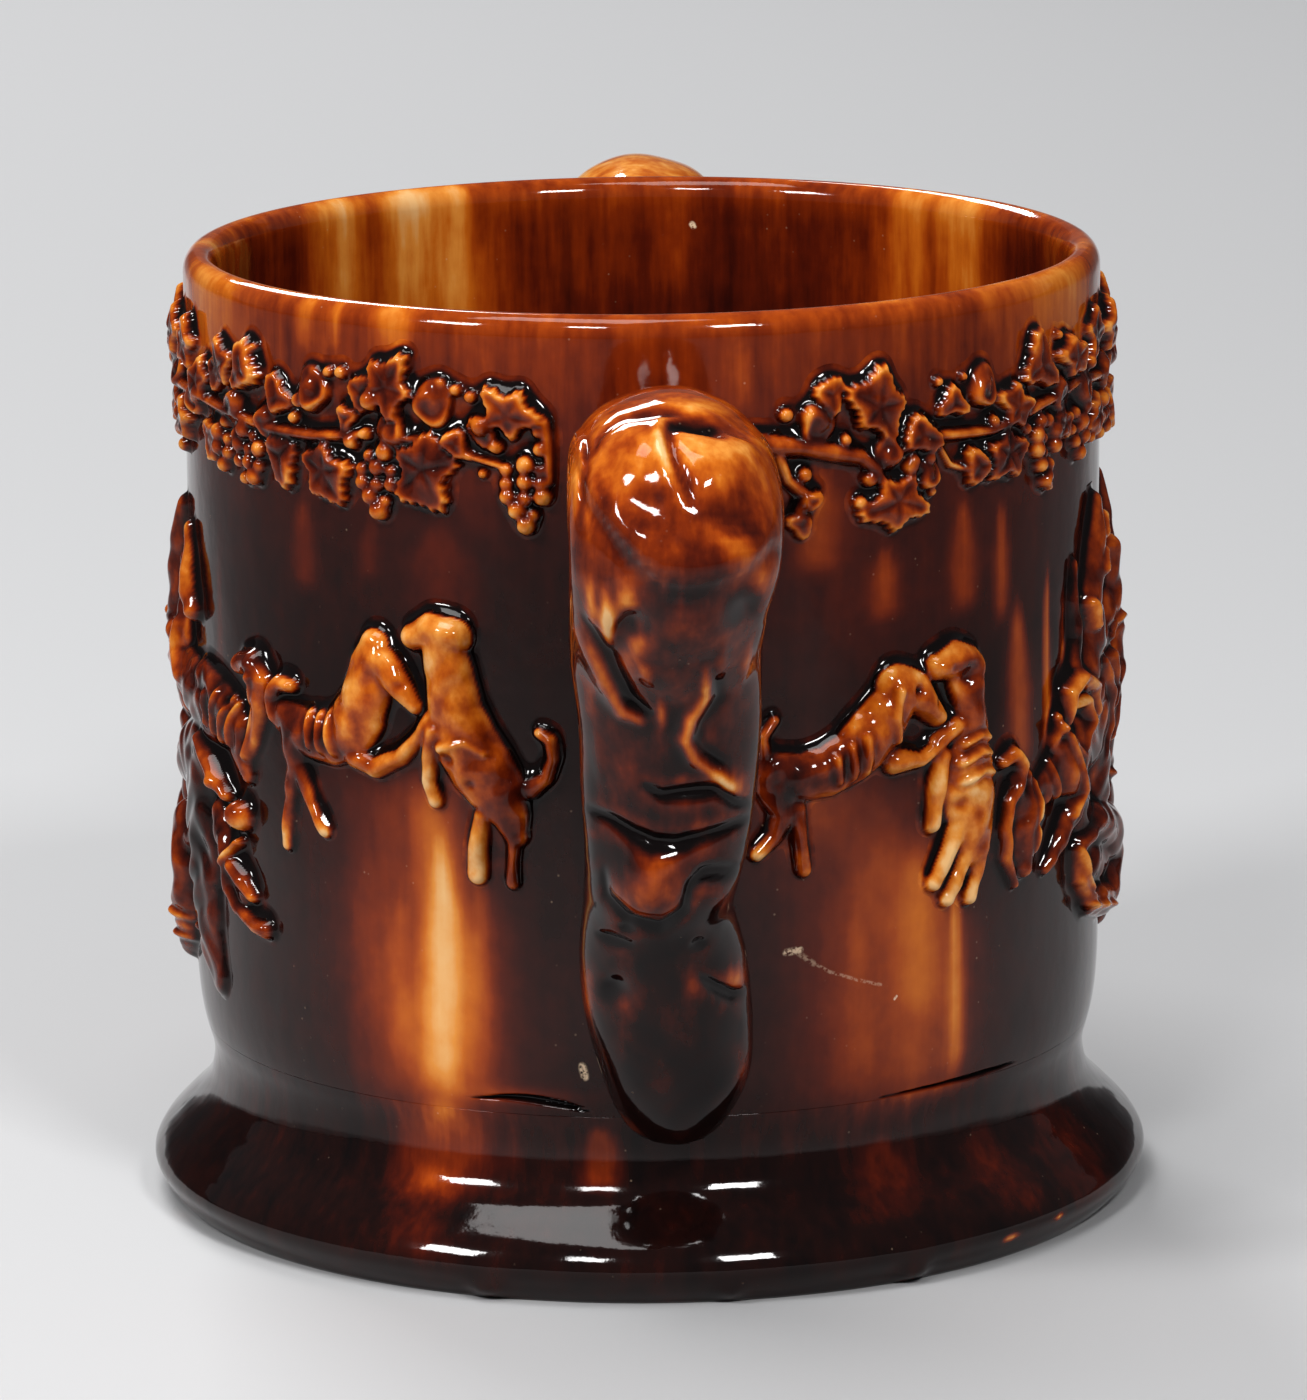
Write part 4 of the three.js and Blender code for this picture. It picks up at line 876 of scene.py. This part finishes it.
def animals(grid, limbs, ribs, hollows):
    """Limbs run together, then ribs raised along lines and hollows sunk as round dimples."""
    clay = limb(grid, limbs[0])
    for path in limbs[1:]:
        clay = melted(clay, limb(grid, path), 0.5)
    for line in ribs:
        away, _ = from_line(grid, line)
        clay = clay + 1.0 * np.exp(-(away / 0.62) ** 2) - 0.35 * np.exp(-((away - 1.4) / 0.6) ** 2)
    for angle, height, size, dip in hollows:
        away = np.hypot(grid[0] - angle * MM_PER_DEGREE, grid[1] - height)
        clay = clay - dip * np.exp(-(away / size) ** 2)
    x, z = grid
    muscle = np.sin(x / 1.5 + 1.3 * np.sin(z / 3.1)) * np.sin(z / 2.0 + np.sin(x / 2.6))
    return clay + 0.38 * muscle * smooth_step(0.5, 2.5, clay)


figure_glaze = treacle_glaze("figure_glaze", streaks=0.2, mottled=0.75)
for hand, reach, *lists, stains in (
        ("left", (-55, -7), LEFT_HOUNDS, LEFT_RIBS, LEFT_HOLLOWS, LEFT_HOUND_STAINS),
        ("right", (9, 50), RIGHT_HOUNDS, RIGHT_RIBS, RIGHT_HOLLOWS, RIGHT_HOUND_STAINS)):
    grid = unrolled(*reach, *HOUND_BAND)
    luted(f"hound_pair_{hand}", f"hounds_{hand}", "figure_glaze", figure_glaze, grid,
          animals(grid, *lists), tops=0.35, edges=0.36, pool=1.15, stains=stains)

# ---------------------------------------------------------------------------------------------
# Handles: two casts of one mould, a bent limb with a rounded, folded top, luted to the wall at its
# root and all down the boot. The glaze is amber on the rounded top and nearly black on the boot.

HANDLE_REACH, HANDLE_WIDTH = 78.0, 41.0
HANDLE_SEAT, HANDLE_CREST = 32.0, 191.8
RINGS, RING_POINTS = 330, 220
BOARD_AT = 150  # in front of the cup's axis
DRAWN_BACK = 2.45  # of the top, by as much as its ledge and folds stand out
TOP_FROM, TOP_TO = 148, 172  # distance from the axis over which the limb passes into the top
LEDGE = 2.4  # how far the top stands out over the limb
HANDLE_SUNK = 1.5  # how far a handle's back lies inside the wall
# Stations from the root over the top to the toe: distance out as a share of the reach, height as a
# share of seat to crest, half depth, half width as a share of the top's, sway to the right.
ARCH = np.array([
    (-0.11, 0.834, 15.5, 0.64, 0), (0.08, 0.85, 15.5, 0.68, 0), (0.25, 0.877, 15.5, 0.82, -0.4),
    (0.42, 0.896, 15.5, 0.91, 0), (0.58, 0.9, 16, 0.97, 0.5), (0.72, 0.872, 17.4, 1, 0.8),
    (0.77, 0.815, 17, 0.98, 0.6), (0.69, 0.75, 15.2, 0.93, -0.5), (0.585, 0.677, 13, 0.9, -0.8),
    (0.52, 0.59, 12.6, 0.86, 0), (0.475, 0.508, 12.4, 0.83, -0.2), (0.43, 0.426, 12.6, 0.77, -0.8),
    (0.33, 0.35, 12, 0.72, -2), (0.25, 0.275, 12.4, 0.8, -1), (0.175, 0.195, 13.2, 0.81, 0.2),
    (0.115, 0.12, 12.6, 0.74, 1.6), (0.065, 0.06, 10, 0.58, 1.6), (0.04, 0.025, 6.5, 0.38, 1.4),
    (0.032, 0.012, 0.4, 0.02, 1.3)])

# The modelling as it is seen from the front: millimetres to the right and height, carried back
# along the line of sight. Swellings: place, half width, half height, how far out.
SWELLS = [
    (-8, 179, 7.5, 9, 1.9), (9.6, 178.5, 8, 8.5, 2.2), (-18.6, 176, 2, 5.4, 2.2),
    (12.5, 186.6, 6, 3, -1.6), (0, 153.6, 13, 3, -0.6), (-8, 147.8, 3, 2.8, -3.4),
    (-10.2, 143.4, 2, 3.4, -2), (13.8, 149.6, 3.8, 4.4, -3.2), (11, 117.5, 5, 4, 1.2),
    (-5, 98, 6.4, 6.6, 3.4), (9.6, 95.6, 4.6, 4, 0.9), (-10.6, 77.6, 2.6, 2.5, -2.2),
    (11.4, 80, 4, 2.4, 0.9), (-16, 108.5, 1.8, 2, 1.2), (-15.4, 102.6, 1.8, 2, 1.2),
    (-15, 96.8, 1.8, 2.2, 1), (0, 72, 9, 12, 0.8), (-3, 165, 9, 5, 0.9), (3, 136, 8, 9, 0.8),
    (-11, 122, 5, 8, 0.8)]
# Folds and creases: a line, half width, how far out (below nought where it is cut in).
FOLDS = [
    ([(-1.8, 188.4), (-2.8, 185.7), (-1.9, 181.2), (-0.3, 177.4), (1.2, 172.9), (3.1, 169.8)], 1.1,
     1),
    ([(0.2, 187.6), (-1, 184.8), (-0.3, 181), (1.2, 177.2), (2.8, 172.8), (4.6, 170)], 0.8, -1.9),
    ([(3.1, 169.8), (7.6, 166.6), (11.5, 164.6), (17.1, 162)], 1.2, 1.2),
    ([(5.4, 169.8), (9.4, 167.6), (13, 166.2), (17.6, 164.8)], 0.9, -1.8),
    ([(-0.4, 186.6), (1.5, 187.5), (4.7, 187.1), (7.8, 186.1), (10.2, 184.9)], 0.62, -4.2),
    ([(-14.8, 180.6), (-13.5, 185), (-9.2, 188.3), (-2.9, 189.5), (0.9, 189.8), (6, 188.7),
      (10.3, 186.9), (14.1, 184.5), (17.4, 181.4)],
     0.55, -1.5),
    ([(-15.4, 184), (-16.3, 178.3), (-17.1, 172.5), (-17.6, 168.5)], 0.8, -2),
    ([(-14.4, 177), (-12.6, 171.5), (-11.6, 175)], 0.7, -1),
    ([(-18.4, 148.6), (-15.9, 143.2), (-12.8, 137.4), (-9.7, 132.6), (-5.9, 130)], 1.3, 1.9),
    ([(-17, 150.6), (-14, 145.4), (-10.9, 139.6), (-7.9, 134.6), (-4.4, 131.8)], 1, -2),
    ([(6, 140.6), (6.4, 135.4), (3.5, 130.9), (2.4, 127), (4.2, 122.8), (8.2, 120), (11.8, 117.4)],
     1.2, 1.7),
    ([(8.4, 138), (8.8, 134.6), (6, 130.2), (4.9, 127), (6.4, 124.4), (9.6, 122.4)], 1.2, -1),
    ([(-5.4, 117.8), (-2, 115.6), (2.8, 115.9), (8.2, 116.6), (12.3, 114), (15.9, 113.6)], 0.95,
     -2.2),
    ([(-15.8, 113.4), (-11.6, 111.3), (-7.5, 108.4), (-3.5, 106.2), (0.6, 105.8), (6.1, 107.4),
      (10.9, 109.1), (15.9, 111.3)],
     1.05, -2.5),
    ([(-12.9, 101), (-12.2, 96.4), (-8.4, 92.2), (-2.2, 89.8), (2.2, 93), (3.2, 98)], 1, -2.1),
    ([(3, 97.8), (6.1, 100.2), (10.2, 100.4), (14, 101.2)], 1, -2.2),
    ([(-13.9, 88.8), (-11.1, 87.4), (-7.7, 86.6)], 0.9, -1.5),
    ([(-10.1, 90.4), (-7, 89.3)], 0.8, -1.2), ([(3.9, 85.7), (7, 86.9)], 0.8, -1.2),
    ([(5.9, 79.9), (8.6, 78.1), (12, 76.2), (14.8, 76.9)], 1, -2),
    ([(-11.4, 157.4), (-9.2, 153.8), (-7.2, 150.8)], 0.8, 1),
    ([(-13.8, 156.4), (-12.8, 150), (-12.2, 143.4)], 0.9, 1),
    ([(-16.2, 156), (-15.4, 149)], 0.8, 0.8), ([(-2.4, 134.6), (-1.6, 128.4)], 0.8, 0.8),
    ([(9.4, 144), (8.8, 139)], 0.9, 0.7), ([(14.6, 143.6), (13.2, 137.6)], 0.9, 0.8),
    ([(-6.6, 141.6), (-4.4, 137.6)], 0.8, 0.9), ([(-14.6, 128), (-13.6, 119)], 1, 0.6)]
# Under this line the rounded top overhangs the limb: millimetres to the right and height.
OVERHANG = np.array([
    (-17.6, 180), (-15.8, 172.5), (-11.3, 166), (-6.3, 159.8), (-2.5, 156.4), (2, 155.4),
    (7.6, 156.2), (13.9, 159.2), (18.5, 164)])
# The glaze's depth down the handle, and patches where it lies thinner (or, with a minus, deeper):
# place, half width, half height, how much.
HANDLE_DEPTH = np.array([
    (30, 0.95), (70, 0.93), (88, 0.92), (100, 0.88), (112, 0.84), (135, 0.76), (147, 0.69),
    (154, 0.63), (164, 0.57), (172, 0.47), (184, 0.42), (190, 0.45), (200, 0.5)])
HANDLE_PATCHES = [
    (1.8, 187.3, 2.4, 0.8, -0.6), (5.6, 187, 2.8, 0.8, -0.6), (6, 190.8, 6, 1.2, 0.14),
    (-1.6, 183, 1.1, 6, 0.12), (11, 164, 5, 2.4, 0.18), (-2, 169, 7, 3, -0.1),
    (9, 172, 5, 4, -0.04), (-14, 162, 2, 6, 0.14), (-6, 163, 5, 3, -0.1), (9, 180, 6, 5, 0.1),
    (-6, 184, 5, 4, 0.06), (-4, 166, 8, 3, -0.06), (-18.6, 177, 2, 5, 0.12), (-8, 146, 3, 4, 0.22),
    (13, 150, 3, 3, 0.12), (-14, 140, 4, 7, 0.1), (4, 129, 3, 8, 0.18), (10, 118, 4, 3, 0.3),
    (-9, 76, 2.4, 6, 0.26), (4, 79, 2.2, 4, 0.34), (13.6, 80, 2.4, 4, 0.36), (-16, 77, 1.6, 7, 0.4),
    (0, 99, 3, 4, 0.26), (-5, 98, 5, 5, 0.12), (14.8, 62, 1.6, 7, 0.34), (-9.6, 66, 2.4, 6, 0.14),
    (6, 108, 2, 3, 0.2), (-12, 150, 5, 7, 0.1), (0, 60, 4, 14, 0.05), (-2.2, 155.7, 1, 3, 0.2),
    (1, 154, 0.9, 3.4, 0.16), (-15.7, 155.5, 1, 4, 0.22), (-12.8, 153.5, 0.8, 3.4, 0.18),
    (-9.9, 140.6, 1.2, 2.6, 0.22), (-2.4, 131, 1, 3.6, 0.26), (-6, 147.5, 0.8, 2.4, 0.16),
    (-12, 149, 1.1, 2, 0.24), (1.6, 118.6, 1.4, 1.4, 0.2), (-17, 122, 1, 5, 0.2),
    (6.4, 128, 1.2, 6, 0.2), (9, 120, 2, 1.4, 0.16), (15, 141, 0.8, 4, 0.14),
    (12.5, 136, 0.9, 3, 0.12), (-15.4, 134, 1, 4, 0.16), (6, 137, 1, 3, 0.2),
    (10.6, 94, 1.4, 2.4, 0.2), (-12, 97, 1, 4, 0.16)]


def along_arch(t):
    """Stations between the given ones: a cubic through each four neighbours."""
    k = np.clip(t.astype(int), 0, len(ARCH) - 2)
    f = (t - k)[:, None]
    p, q, r, s = (ARCH[np.clip(k + n, 0, len(ARCH) - 1)] for n in (-1, 0, 1, 2))
    return 0.5 * (2 * q + (r - p) * f + (2 * p - 5 * q + 4 * r - s) * f ** 2
                  + (3 * q - p - 3 * r + s) * f ** 3)


def arch_line(out, share):
    """Distance from the axis and height, from shares of the handle's reach and rise."""
    return np.stack([WALL_RADIUS + out * HANDLE_REACH,
                     HANDLE_SEAT + share * (HANDLE_CREST - HANDLE_SEAT)], -1)


# An oval section is carried along the arch, square to it, and its front is swelled and folded.
t = np.linspace(0, len(ARCH) - 1, 2000)
steps = np.diff(arch_line(*along_arch(t)[:, :2].T), axis=0)
run = np.concatenate([[0], np.cumsum(np.hypot(*steps.T))])
t = np.interp(np.linspace(0, run[-1], RINGS), run, t)
out, share, deep, width, sway = along_arch(t).T
line = arch_line(out, share)
along = np.gradient(line, axis=0)
along /= np.hypot(*along.T)[:, None]
outward = np.stack([-along[:, 1], along[:, 0]], -1)[:, None]
turned = np.linspace(-np.pi, np.pi, RING_POINTS + 1)[:-1]
facing = np.cos(turned)
across = (width * HANDLE_WIDTH / 2)[:, None] * np.sin(turned) + sway[:, None]
section = line[:, None] + outward * (np.clip(deep, 0.3, None)[:, None] * facing)[..., None]
# Where the camera sees each point against an upright board in front of the cup.
_, camera_away, camera_up = np.array(CAMERA_AT) * [1, -1000, 1000]
reach, height = section[..., 0], section[..., 1]
seen_at = height + (BOARD_AT - reach) * (camera_up - height) / (camera_away - reach)
drawing = (across, seen_at)
relief = bells(across, seen_at, SWELLS)
for path, half_width, rise in FOLDS:
    stations = [(x / MM_PER_DEGREE, z, k / (len(path) - 1)) for k, (x, z) in enumerate(path)]
    away, (covered,) = from_line(drawing, stations)
    swell = np.sin(np.pi * covered)
    bell = np.exp(-(away / (half_width * (0.6 + 0.7 * swell))) ** 2)
    relief = relief + rise * (0.45 + 0.6 * swell) * bell
relief = relief + 0.25 * np.sin(across / 2.9 + np.sin(seen_at / 3.7)) * np.sin(seen_at / 3.3)
relief = softened(relief * np.sqrt(np.clip(facing, 0, 1)), 0.36)
ridge = relief - softened(relief, 1.1)
below = np.interp(across, *OVERHANG.T) - seen_at
ledge = LEDGE * smooth_step(0.9, -1.1, below) * smooth_step(13, 1, -below)
relief = relief + (ledge - 0.8 * np.exp(-((below - 2) / 2.2) ** 2)) * np.clip(facing, 0, 1) ** 0.7
section = section + outward * relief[..., None]
section[..., 0] -= DRAWN_BACK * smooth_step(TOP_FROM, TOP_TO, section[..., 0])
depth = (np.interp(seen_at, *HANDLE_DEPTH.T) - bells(across, seen_at, HANDLE_PATCHES)
         - (0.62 - 0.22 * smooth_step(150, 170, seen_at)) * np.clip(ridge, -0.45, 0.8))
depth = depth + 0.12 * np.exp(-((below - 1.4) / 1.6) ** 2) * smooth_step(185, 170, seen_at)
depth = np.where(facing < 0, 0.80, depth)

handle_glaze = treacle_glaze("handle_glaze", streaks=0.75, mottled=0.45)
# Each cast: its bearing, how much higher it was luted on, how much thinner its top is glazed.
for name, node, bearing, lift, thinner in (
        ("front_handle", "handle_near", 2, 0, 0), ("back_handle", "handle_far", 180, 4.5, 0.24)):
    reach, height = section[..., 0], section[..., 1] + lift
    clear = np.hypot(across, reach) - wall_radius(bearing, height)
    spread = 0.16 * np.clip(3.2 - clear, 0, 3.2) ** 2
    aside = across + spread * np.sin(turned)
    height = height + spread * facing * outward[..., 1] * (np.abs(outward[..., 1]) > 0.5)
    angle = np.degrees(np.arctan2(aside, reach)) + bearing
    far = np.maximum(np.hypot(aside, reach), wall_radius(angle, height) - HANDLE_SUNK)
    rings = round_pot(far, angle, height)
    pool = smooth_step(2.6, 0.4, clear)
    shade = depth + (0.98 - depth) * pool - thinner * smooth_step(182, 192, height)
    piece = capped(name, "handle_glaze", rings[0].mean(axis=0), rings, rings[-1].mean(axis=0),
                   depth=(0.9, shade, 0.95))
    piece.data.materials.append(handle_glaze)
    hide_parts(node)

# ---------------------------------------------------------------------------------------------
# Side groups: limbs, ribbed flanks and coiled forms of the chase, pressed in moulds and luted on
# beside the hounds, most of them sunk in black glaze with amber on what stands out.

SIDE_BAND = (47, 152)
LEFT_SIDE = [
    [(-85.2, 111, 6.4, 3.6), (-81, 113, 7.4, 3.8), (-74, 111, 7.6, 3.8), (-67, 107.6, 6.6, 3.2),
     (-59, 107, 5, 2.6)],
    [(-85.4, 92, 6, 3.2), (-80, 95, 7.5, 3.4), (-72, 97, 8, 3.4)],
    [(-85.2, 74, 6.4, 3.6), (-81, 74, 7.6, 3.8), (-73, 74, 8, 3.4)],
    [(-66, 87, 4, 2.8), (-62.4, 79, 4.4, 2.8), (-59, 73, 3.4, 2.6)],
    [(-80, 120, 5.6, 3.4), (-80.4, 129, 4, 2.8), (-81, 136, 2.4, 2)],
    [(-86.4, 122, 3, 5), (-83, 120, 3.2, 5.4), (-80, 117, 2.2, 5), (-78, 114.6, 1.8, 4.4)],
    [(-77, 144, 1.6, 2.2), (-76, 137.5, 2.6, 3.4), (-75.4, 131, 3.2, 4.2), (-74, 127.4, 2.8, 4)],
    [(-83, 147, 2.2, 2.6), (-85, 136, 4, 4), (-86, 125, 4.8, 4.6), (-85, 118, 4.4, 4.6)],
    [(-80, 122.4, 3, 4.6), (-80.6, 116.4, 3.9, 5.4), (-77.4, 112.6, 3.4, 5)],
    [(-75, 112.6, 4.2, 4.2), (-70.6, 110.4, 4.2, 3.8), (-66, 110.4, 4.2, 3.6)],
    [(-57.8, 121.2, 3, 4), (-54.8, 122.2, 3.3, 4.8), (-53.2, 119, 3.1, 4.8), (-53.6, 113, 2.7, 4),
     (-55.4, 106.6, 2.2, 3.2), (-57, 101.8, 1.6, 2.4)],
    [(-70, 115, 4, 3.2), (-65, 112, 5.6, 3.6), (-61, 109, 6, 3.6), (-59, 103.4, 5, 3.2),
     (-57.4, 98, 2.2, 2.2)],
    [(-70, 102, 2.2, 4.4), (-66.4, 98, 2.6, 5), (-63.6, 94.4, 2.3, 5), (-62, 92.4, 1.7, 4.2)],
    [(-58.8, 89.4, 3.5, 5.4), (-58.5, 89.3, 3.5, 5.4)],
    [(-64.4, 94.8, 2.3, 5.6), (-64.2, 94.6, 2.3, 5.6)],
    [(-72.4, 98, 8, 3.4), (-73, 90, 9.6, 3.8), (-73, 80, 10.6, 3.6), (-72.6, 70, 10, 3.3),
     (-70.6, 60, 7.6, 2.7), (-67.6, 52, 4.4, 1.8)],
    [(-63.4, 83, 2.2, 3.4), (-62.2, 78, 2.6, 3.8), (-61.6, 73, 2.4, 3.6), (-59.5, 69.4, 2.1, 3.2),
     (-56.2, 67.4, 1.9, 3.2), (-53.8, 66.8, 2.3, 3.6)],
    [(-60.6, 78, 2.4, 4), (-58.4, 75.6, 2.4, 3.9), (-56.5, 72.8, 1.5, 2.8)],
    [(-59.3, 83.6, 1.1, 3.4), (-61, 81, 1.2, 4.4), (-62.4, 78.4, 1.1, 4.6)],
    [(-82, 80, 5, 5), (-80, 72, 5.2, 5.4), (-81, 64, 6.2, 5.6), (-82, 58, 5.4, 4.8),
     (-84, 53, 3.6, 3.4)]]
LEFT_SIDE_RIBS = [
    [(-54.1, 119.8), (-54.9, 114.6), (-55.9, 109.1), (-57, 102.4)],
    [(-57.4, 117.4), (-58.4, 113.5), (-59.7, 110), (-60.2, 104)],
    [(-59.8, 113.6), (-61.6, 109.4), (-63, 103.6)], [(-63.2, 114.1), (-64.3, 109.2), (-65, 104.4)],
    [(-66.6, 112.6), (-67.2, 106)], [(-51.8, 110.6), (-52.5, 106.4)],
    [(-85, 61.6), (-77.4, 60), (-73, 60.6)], [(-84, 56), (-76, 55)]]
LEFT_SIDE_HOLLOWS = [
    (-58.9, 116.6, 1.3, 2.6), (-60.8, 112.4, 1, 1.4), (-76.8, 74.4, 2.6, 3.2),
    (-76.2, 67.4, 2.8, 3.6), (-78.6, 127, 2.2, 2.4), (-84.6, 108, 3, 2.4), (-68, 88, 3, 1),
    (-70, 78, 3.4, 0.8)]
LEFT_SIDE_STAINS = [
    (-76, 134, 2.6, 9, -0.26), (-79.6, 117, 3.2, 6, -0.3), (-55.4, 110, 2.2, 9, -0.26),
    (-59.4, 109, 1.6, 5, -0.12), (-59, 87.4, 2.4, 2.4, -0.3), (-61, 81, 1.6, 3, -0.26),
    (-63, 108, 2.4, 5, -0.08), (-80, 60, 4, 4, -0.2), (-77, 74, 2.6, 4, -0.14),
    (-73, 82, 7, 16, 0.2), (-54, 123.6, 3, 1.6, 0.3), (-55.4, 65.4, 1.6, 1.4, -0.2),
    (-66, 110, 3, 6, 0.1)]
RIGHT_SIDE = [
    [(57.6, 94, 4.4, 2.6), (63, 98, 6.6, 3.2), (71, 101, 9, 3.8), (79, 104, 9, 4),
     (84.8, 104, 7.2, 3.8)],
    [(72, 112, 7, 3.8), (72.4, 122, 6, 3.8), (73.4, 132, 4.6, 3.4)],
    [(85.8, 116, 5.2, 4), (84, 124, 5, 3.8), (80, 118, 5, 3.4)],
    [(84, 96, 5, 3.6), (85.6, 86, 4, 3.4), (84, 78, 3.4, 3.2)],
    [(67, 90, 5, 3.2), (69, 82, 5.4, 3.2), (72, 74, 6, 2.6), (79, 72, 6.4, 2.8)],
    [(51, 98, 2.6, 2.4), (52.4, 90, 3, 2.6), (51.6, 82, 2.4, 2.2)],
    [(86.4, 111, 3, 5.4), (83.6, 109.4, 3.2, 5.8), (80.8, 106.4, 2.2, 5.4), (79, 104, 1.8, 4.8)],
    [(48.4, 102, 1.6, 3), (50.2, 103.2, 2, 4), (51.2, 101, 1.9, 4), (51, 97.4, 1.7, 3.8),
     (49.4, 93.4, 1.6, 3.2), (48.6, 88, 1.7, 3.2), (48.8, 82, 1.7, 3), (50.8, 76, 1.4, 2.4)],
    [(52.8, 97.6, 2.4, 3.2), (53.4, 92, 3.4, 4), (53, 86, 3.2, 4), (52.4, 79, 2.6, 3)],
    [(60.4, 107.6, 1.4, 2.8), (61.2, 102, 4, 4.2), (63.2, 96, 6, 5), (65.2, 91, 5.2, 4.8),
     (64, 86.6, 3.8, 4.2), (60.4, 81, 2.6, 3.2), (57.6, 76.8, 1.6, 2.2)],
    [(62.1, 106, 1.7, 3.6), (62.4, 112.2, 2.1, 4.8), (65.4, 114.6, 2.3, 5.2),
     (69.6, 111.4, 2.3, 5.2), (71.2, 105.4, 1.9, 4.4)],
    [(66.2, 98.6, 1.8, 4), (68.4, 104.4, 2.1, 4.8), (67.2, 109, 1.9, 4.6), (64.6, 109, 1.5, 4)],
    [(73.4, 115, 2.3, 5.2), (76.2, 108, 2.5, 5.6), (76.8, 101, 2.1, 4.8), (75, 94, 1.8, 4)],
    [(80, 114, 2.4, 5.2), (81.4, 105, 2.5, 5.4), (80.4, 97, 2.1, 4.6)],
    [(70, 114, 4.6, 3.4), (74, 107, 6.6, 3.8), (76, 97, 6.6, 3.8), (76, 87, 6, 3.8)],
    [(75, 148, 2.6, 2.8), (73.4, 140, 4, 3.8), (71.6, 130, 4.8, 4), (73, 120, 5.6, 4.4)],
    [(66.4, 138, 1.2, 1.4), (66, 130, 1.8, 2), (66.4, 122, 2.4, 2.6), (65.6, 117, 2.6, 3.2)],
    [(73.2, 134.6, 2.2, 5), (74.4, 138, 1.8, 4.8)], [(75, 141.4, 1.8, 4.4), (76.4, 145, 1.5, 3.8)],
    [(69.6, 128.6, 1.8, 4.6), (70.6, 124, 2.2, 5)],
    [(84, 136, 3.2, 4.4), (85, 127, 4.4, 5), (85.4, 118, 5.2, 5.4), (84.4, 110, 4.2, 5)],
    [(66.6, 79, 2.4, 4.4), (72, 82, 4.4, 5.2), (80, 78, 6, 5.6), (84, 70, 5.4, 5.4),
     (79, 63, 4.6, 4.8), (70.6, 65, 3.2, 4.2), (66.4, 72, 2.4, 4.2), (66.2, 78, 2.2, 4.2)],
    [(72, 74, 5.4, 2.2), (78, 71, 5.4, 2.6)]]
RIGHT_SIDE_RIBS = [
    [(60.6, 105.4), (63.4, 97.8), (64.3, 91.1), (62.8, 86.4)],
    [(60.4, 106), (58, 99.8), (59.8, 91)], [(61.8, 104), (66, 97.4), (68.2, 90)],
    [(54, 96.7), (54.5, 92.4), (53.8, 86.4), (54, 82)], [(65.3, 78.1), (66.7, 73.4), (69, 69.3)],
    [(67.8, 65.5), (78.2, 61.8)], [(80, 118), (85, 121), (89, 119)], [(79, 84), (83, 88), (87, 86)]]
RIGHT_SIDE_HOLLOWS = [
    (71, 74.6, 4, 3), (54.2, 87.8, 0.7, 1.6), (64.6, 104, 1.5, 1.6), (72.4, 112, 1.3, 1.4),
    (78.6, 110, 1.2, 1.6), (56.6, 92, 1.3, 1.4), (76, 126, 2.2, 2), (60, 86, 1.2, 1)]
RIGHT_SIDE_STAINS = [
    (62.6, 97, 2.6, 8, -0.24), (65.4, 111, 4, 5, -0.26), (72, 106, 6, 7, -0.16),
    (50.6, 102.4, 1.6, 2, -0.2), (49.4, 84, 2.4, 8, -0.06), (67, 72, 2.4, 5, -0.26),
    (73, 64, 5, 2.4, -0.2), (74.6, 141, 2.4, 8, -0.22), (70, 126, 2, 5, -0.16),
    (54.2, 91, 1.4, 5, -0.14), (84, 120, 4, 8, -0.14), (54.1, 87.8, 0.5, 3.4, -0.4),
    (66.4, 84, 4, 3, 0.16), (66, 126, 2, 10, 0.3)]

for hand, reach, *lists, stains in (
        ("left", (-90, -50), LEFT_SIDE, LEFT_SIDE_RIBS, LEFT_SIDE_HOLLOWS, LEFT_SIDE_STAINS),
        ("right", (46.6, 90), RIGHT_SIDE, RIGHT_SIDE_RIBS, RIGHT_SIDE_HOLLOWS, RIGHT_SIDE_STAINS)):
    grid = unrolled(*reach, *SIDE_BAND)
    luted(f"side_group_{hand}", f"chase_{hand}", "figure_glaze", figure_glaze, grid,
          animals(grid, *lists), tops=0.70, edges=0.42, pool=1.6, stains=stains)
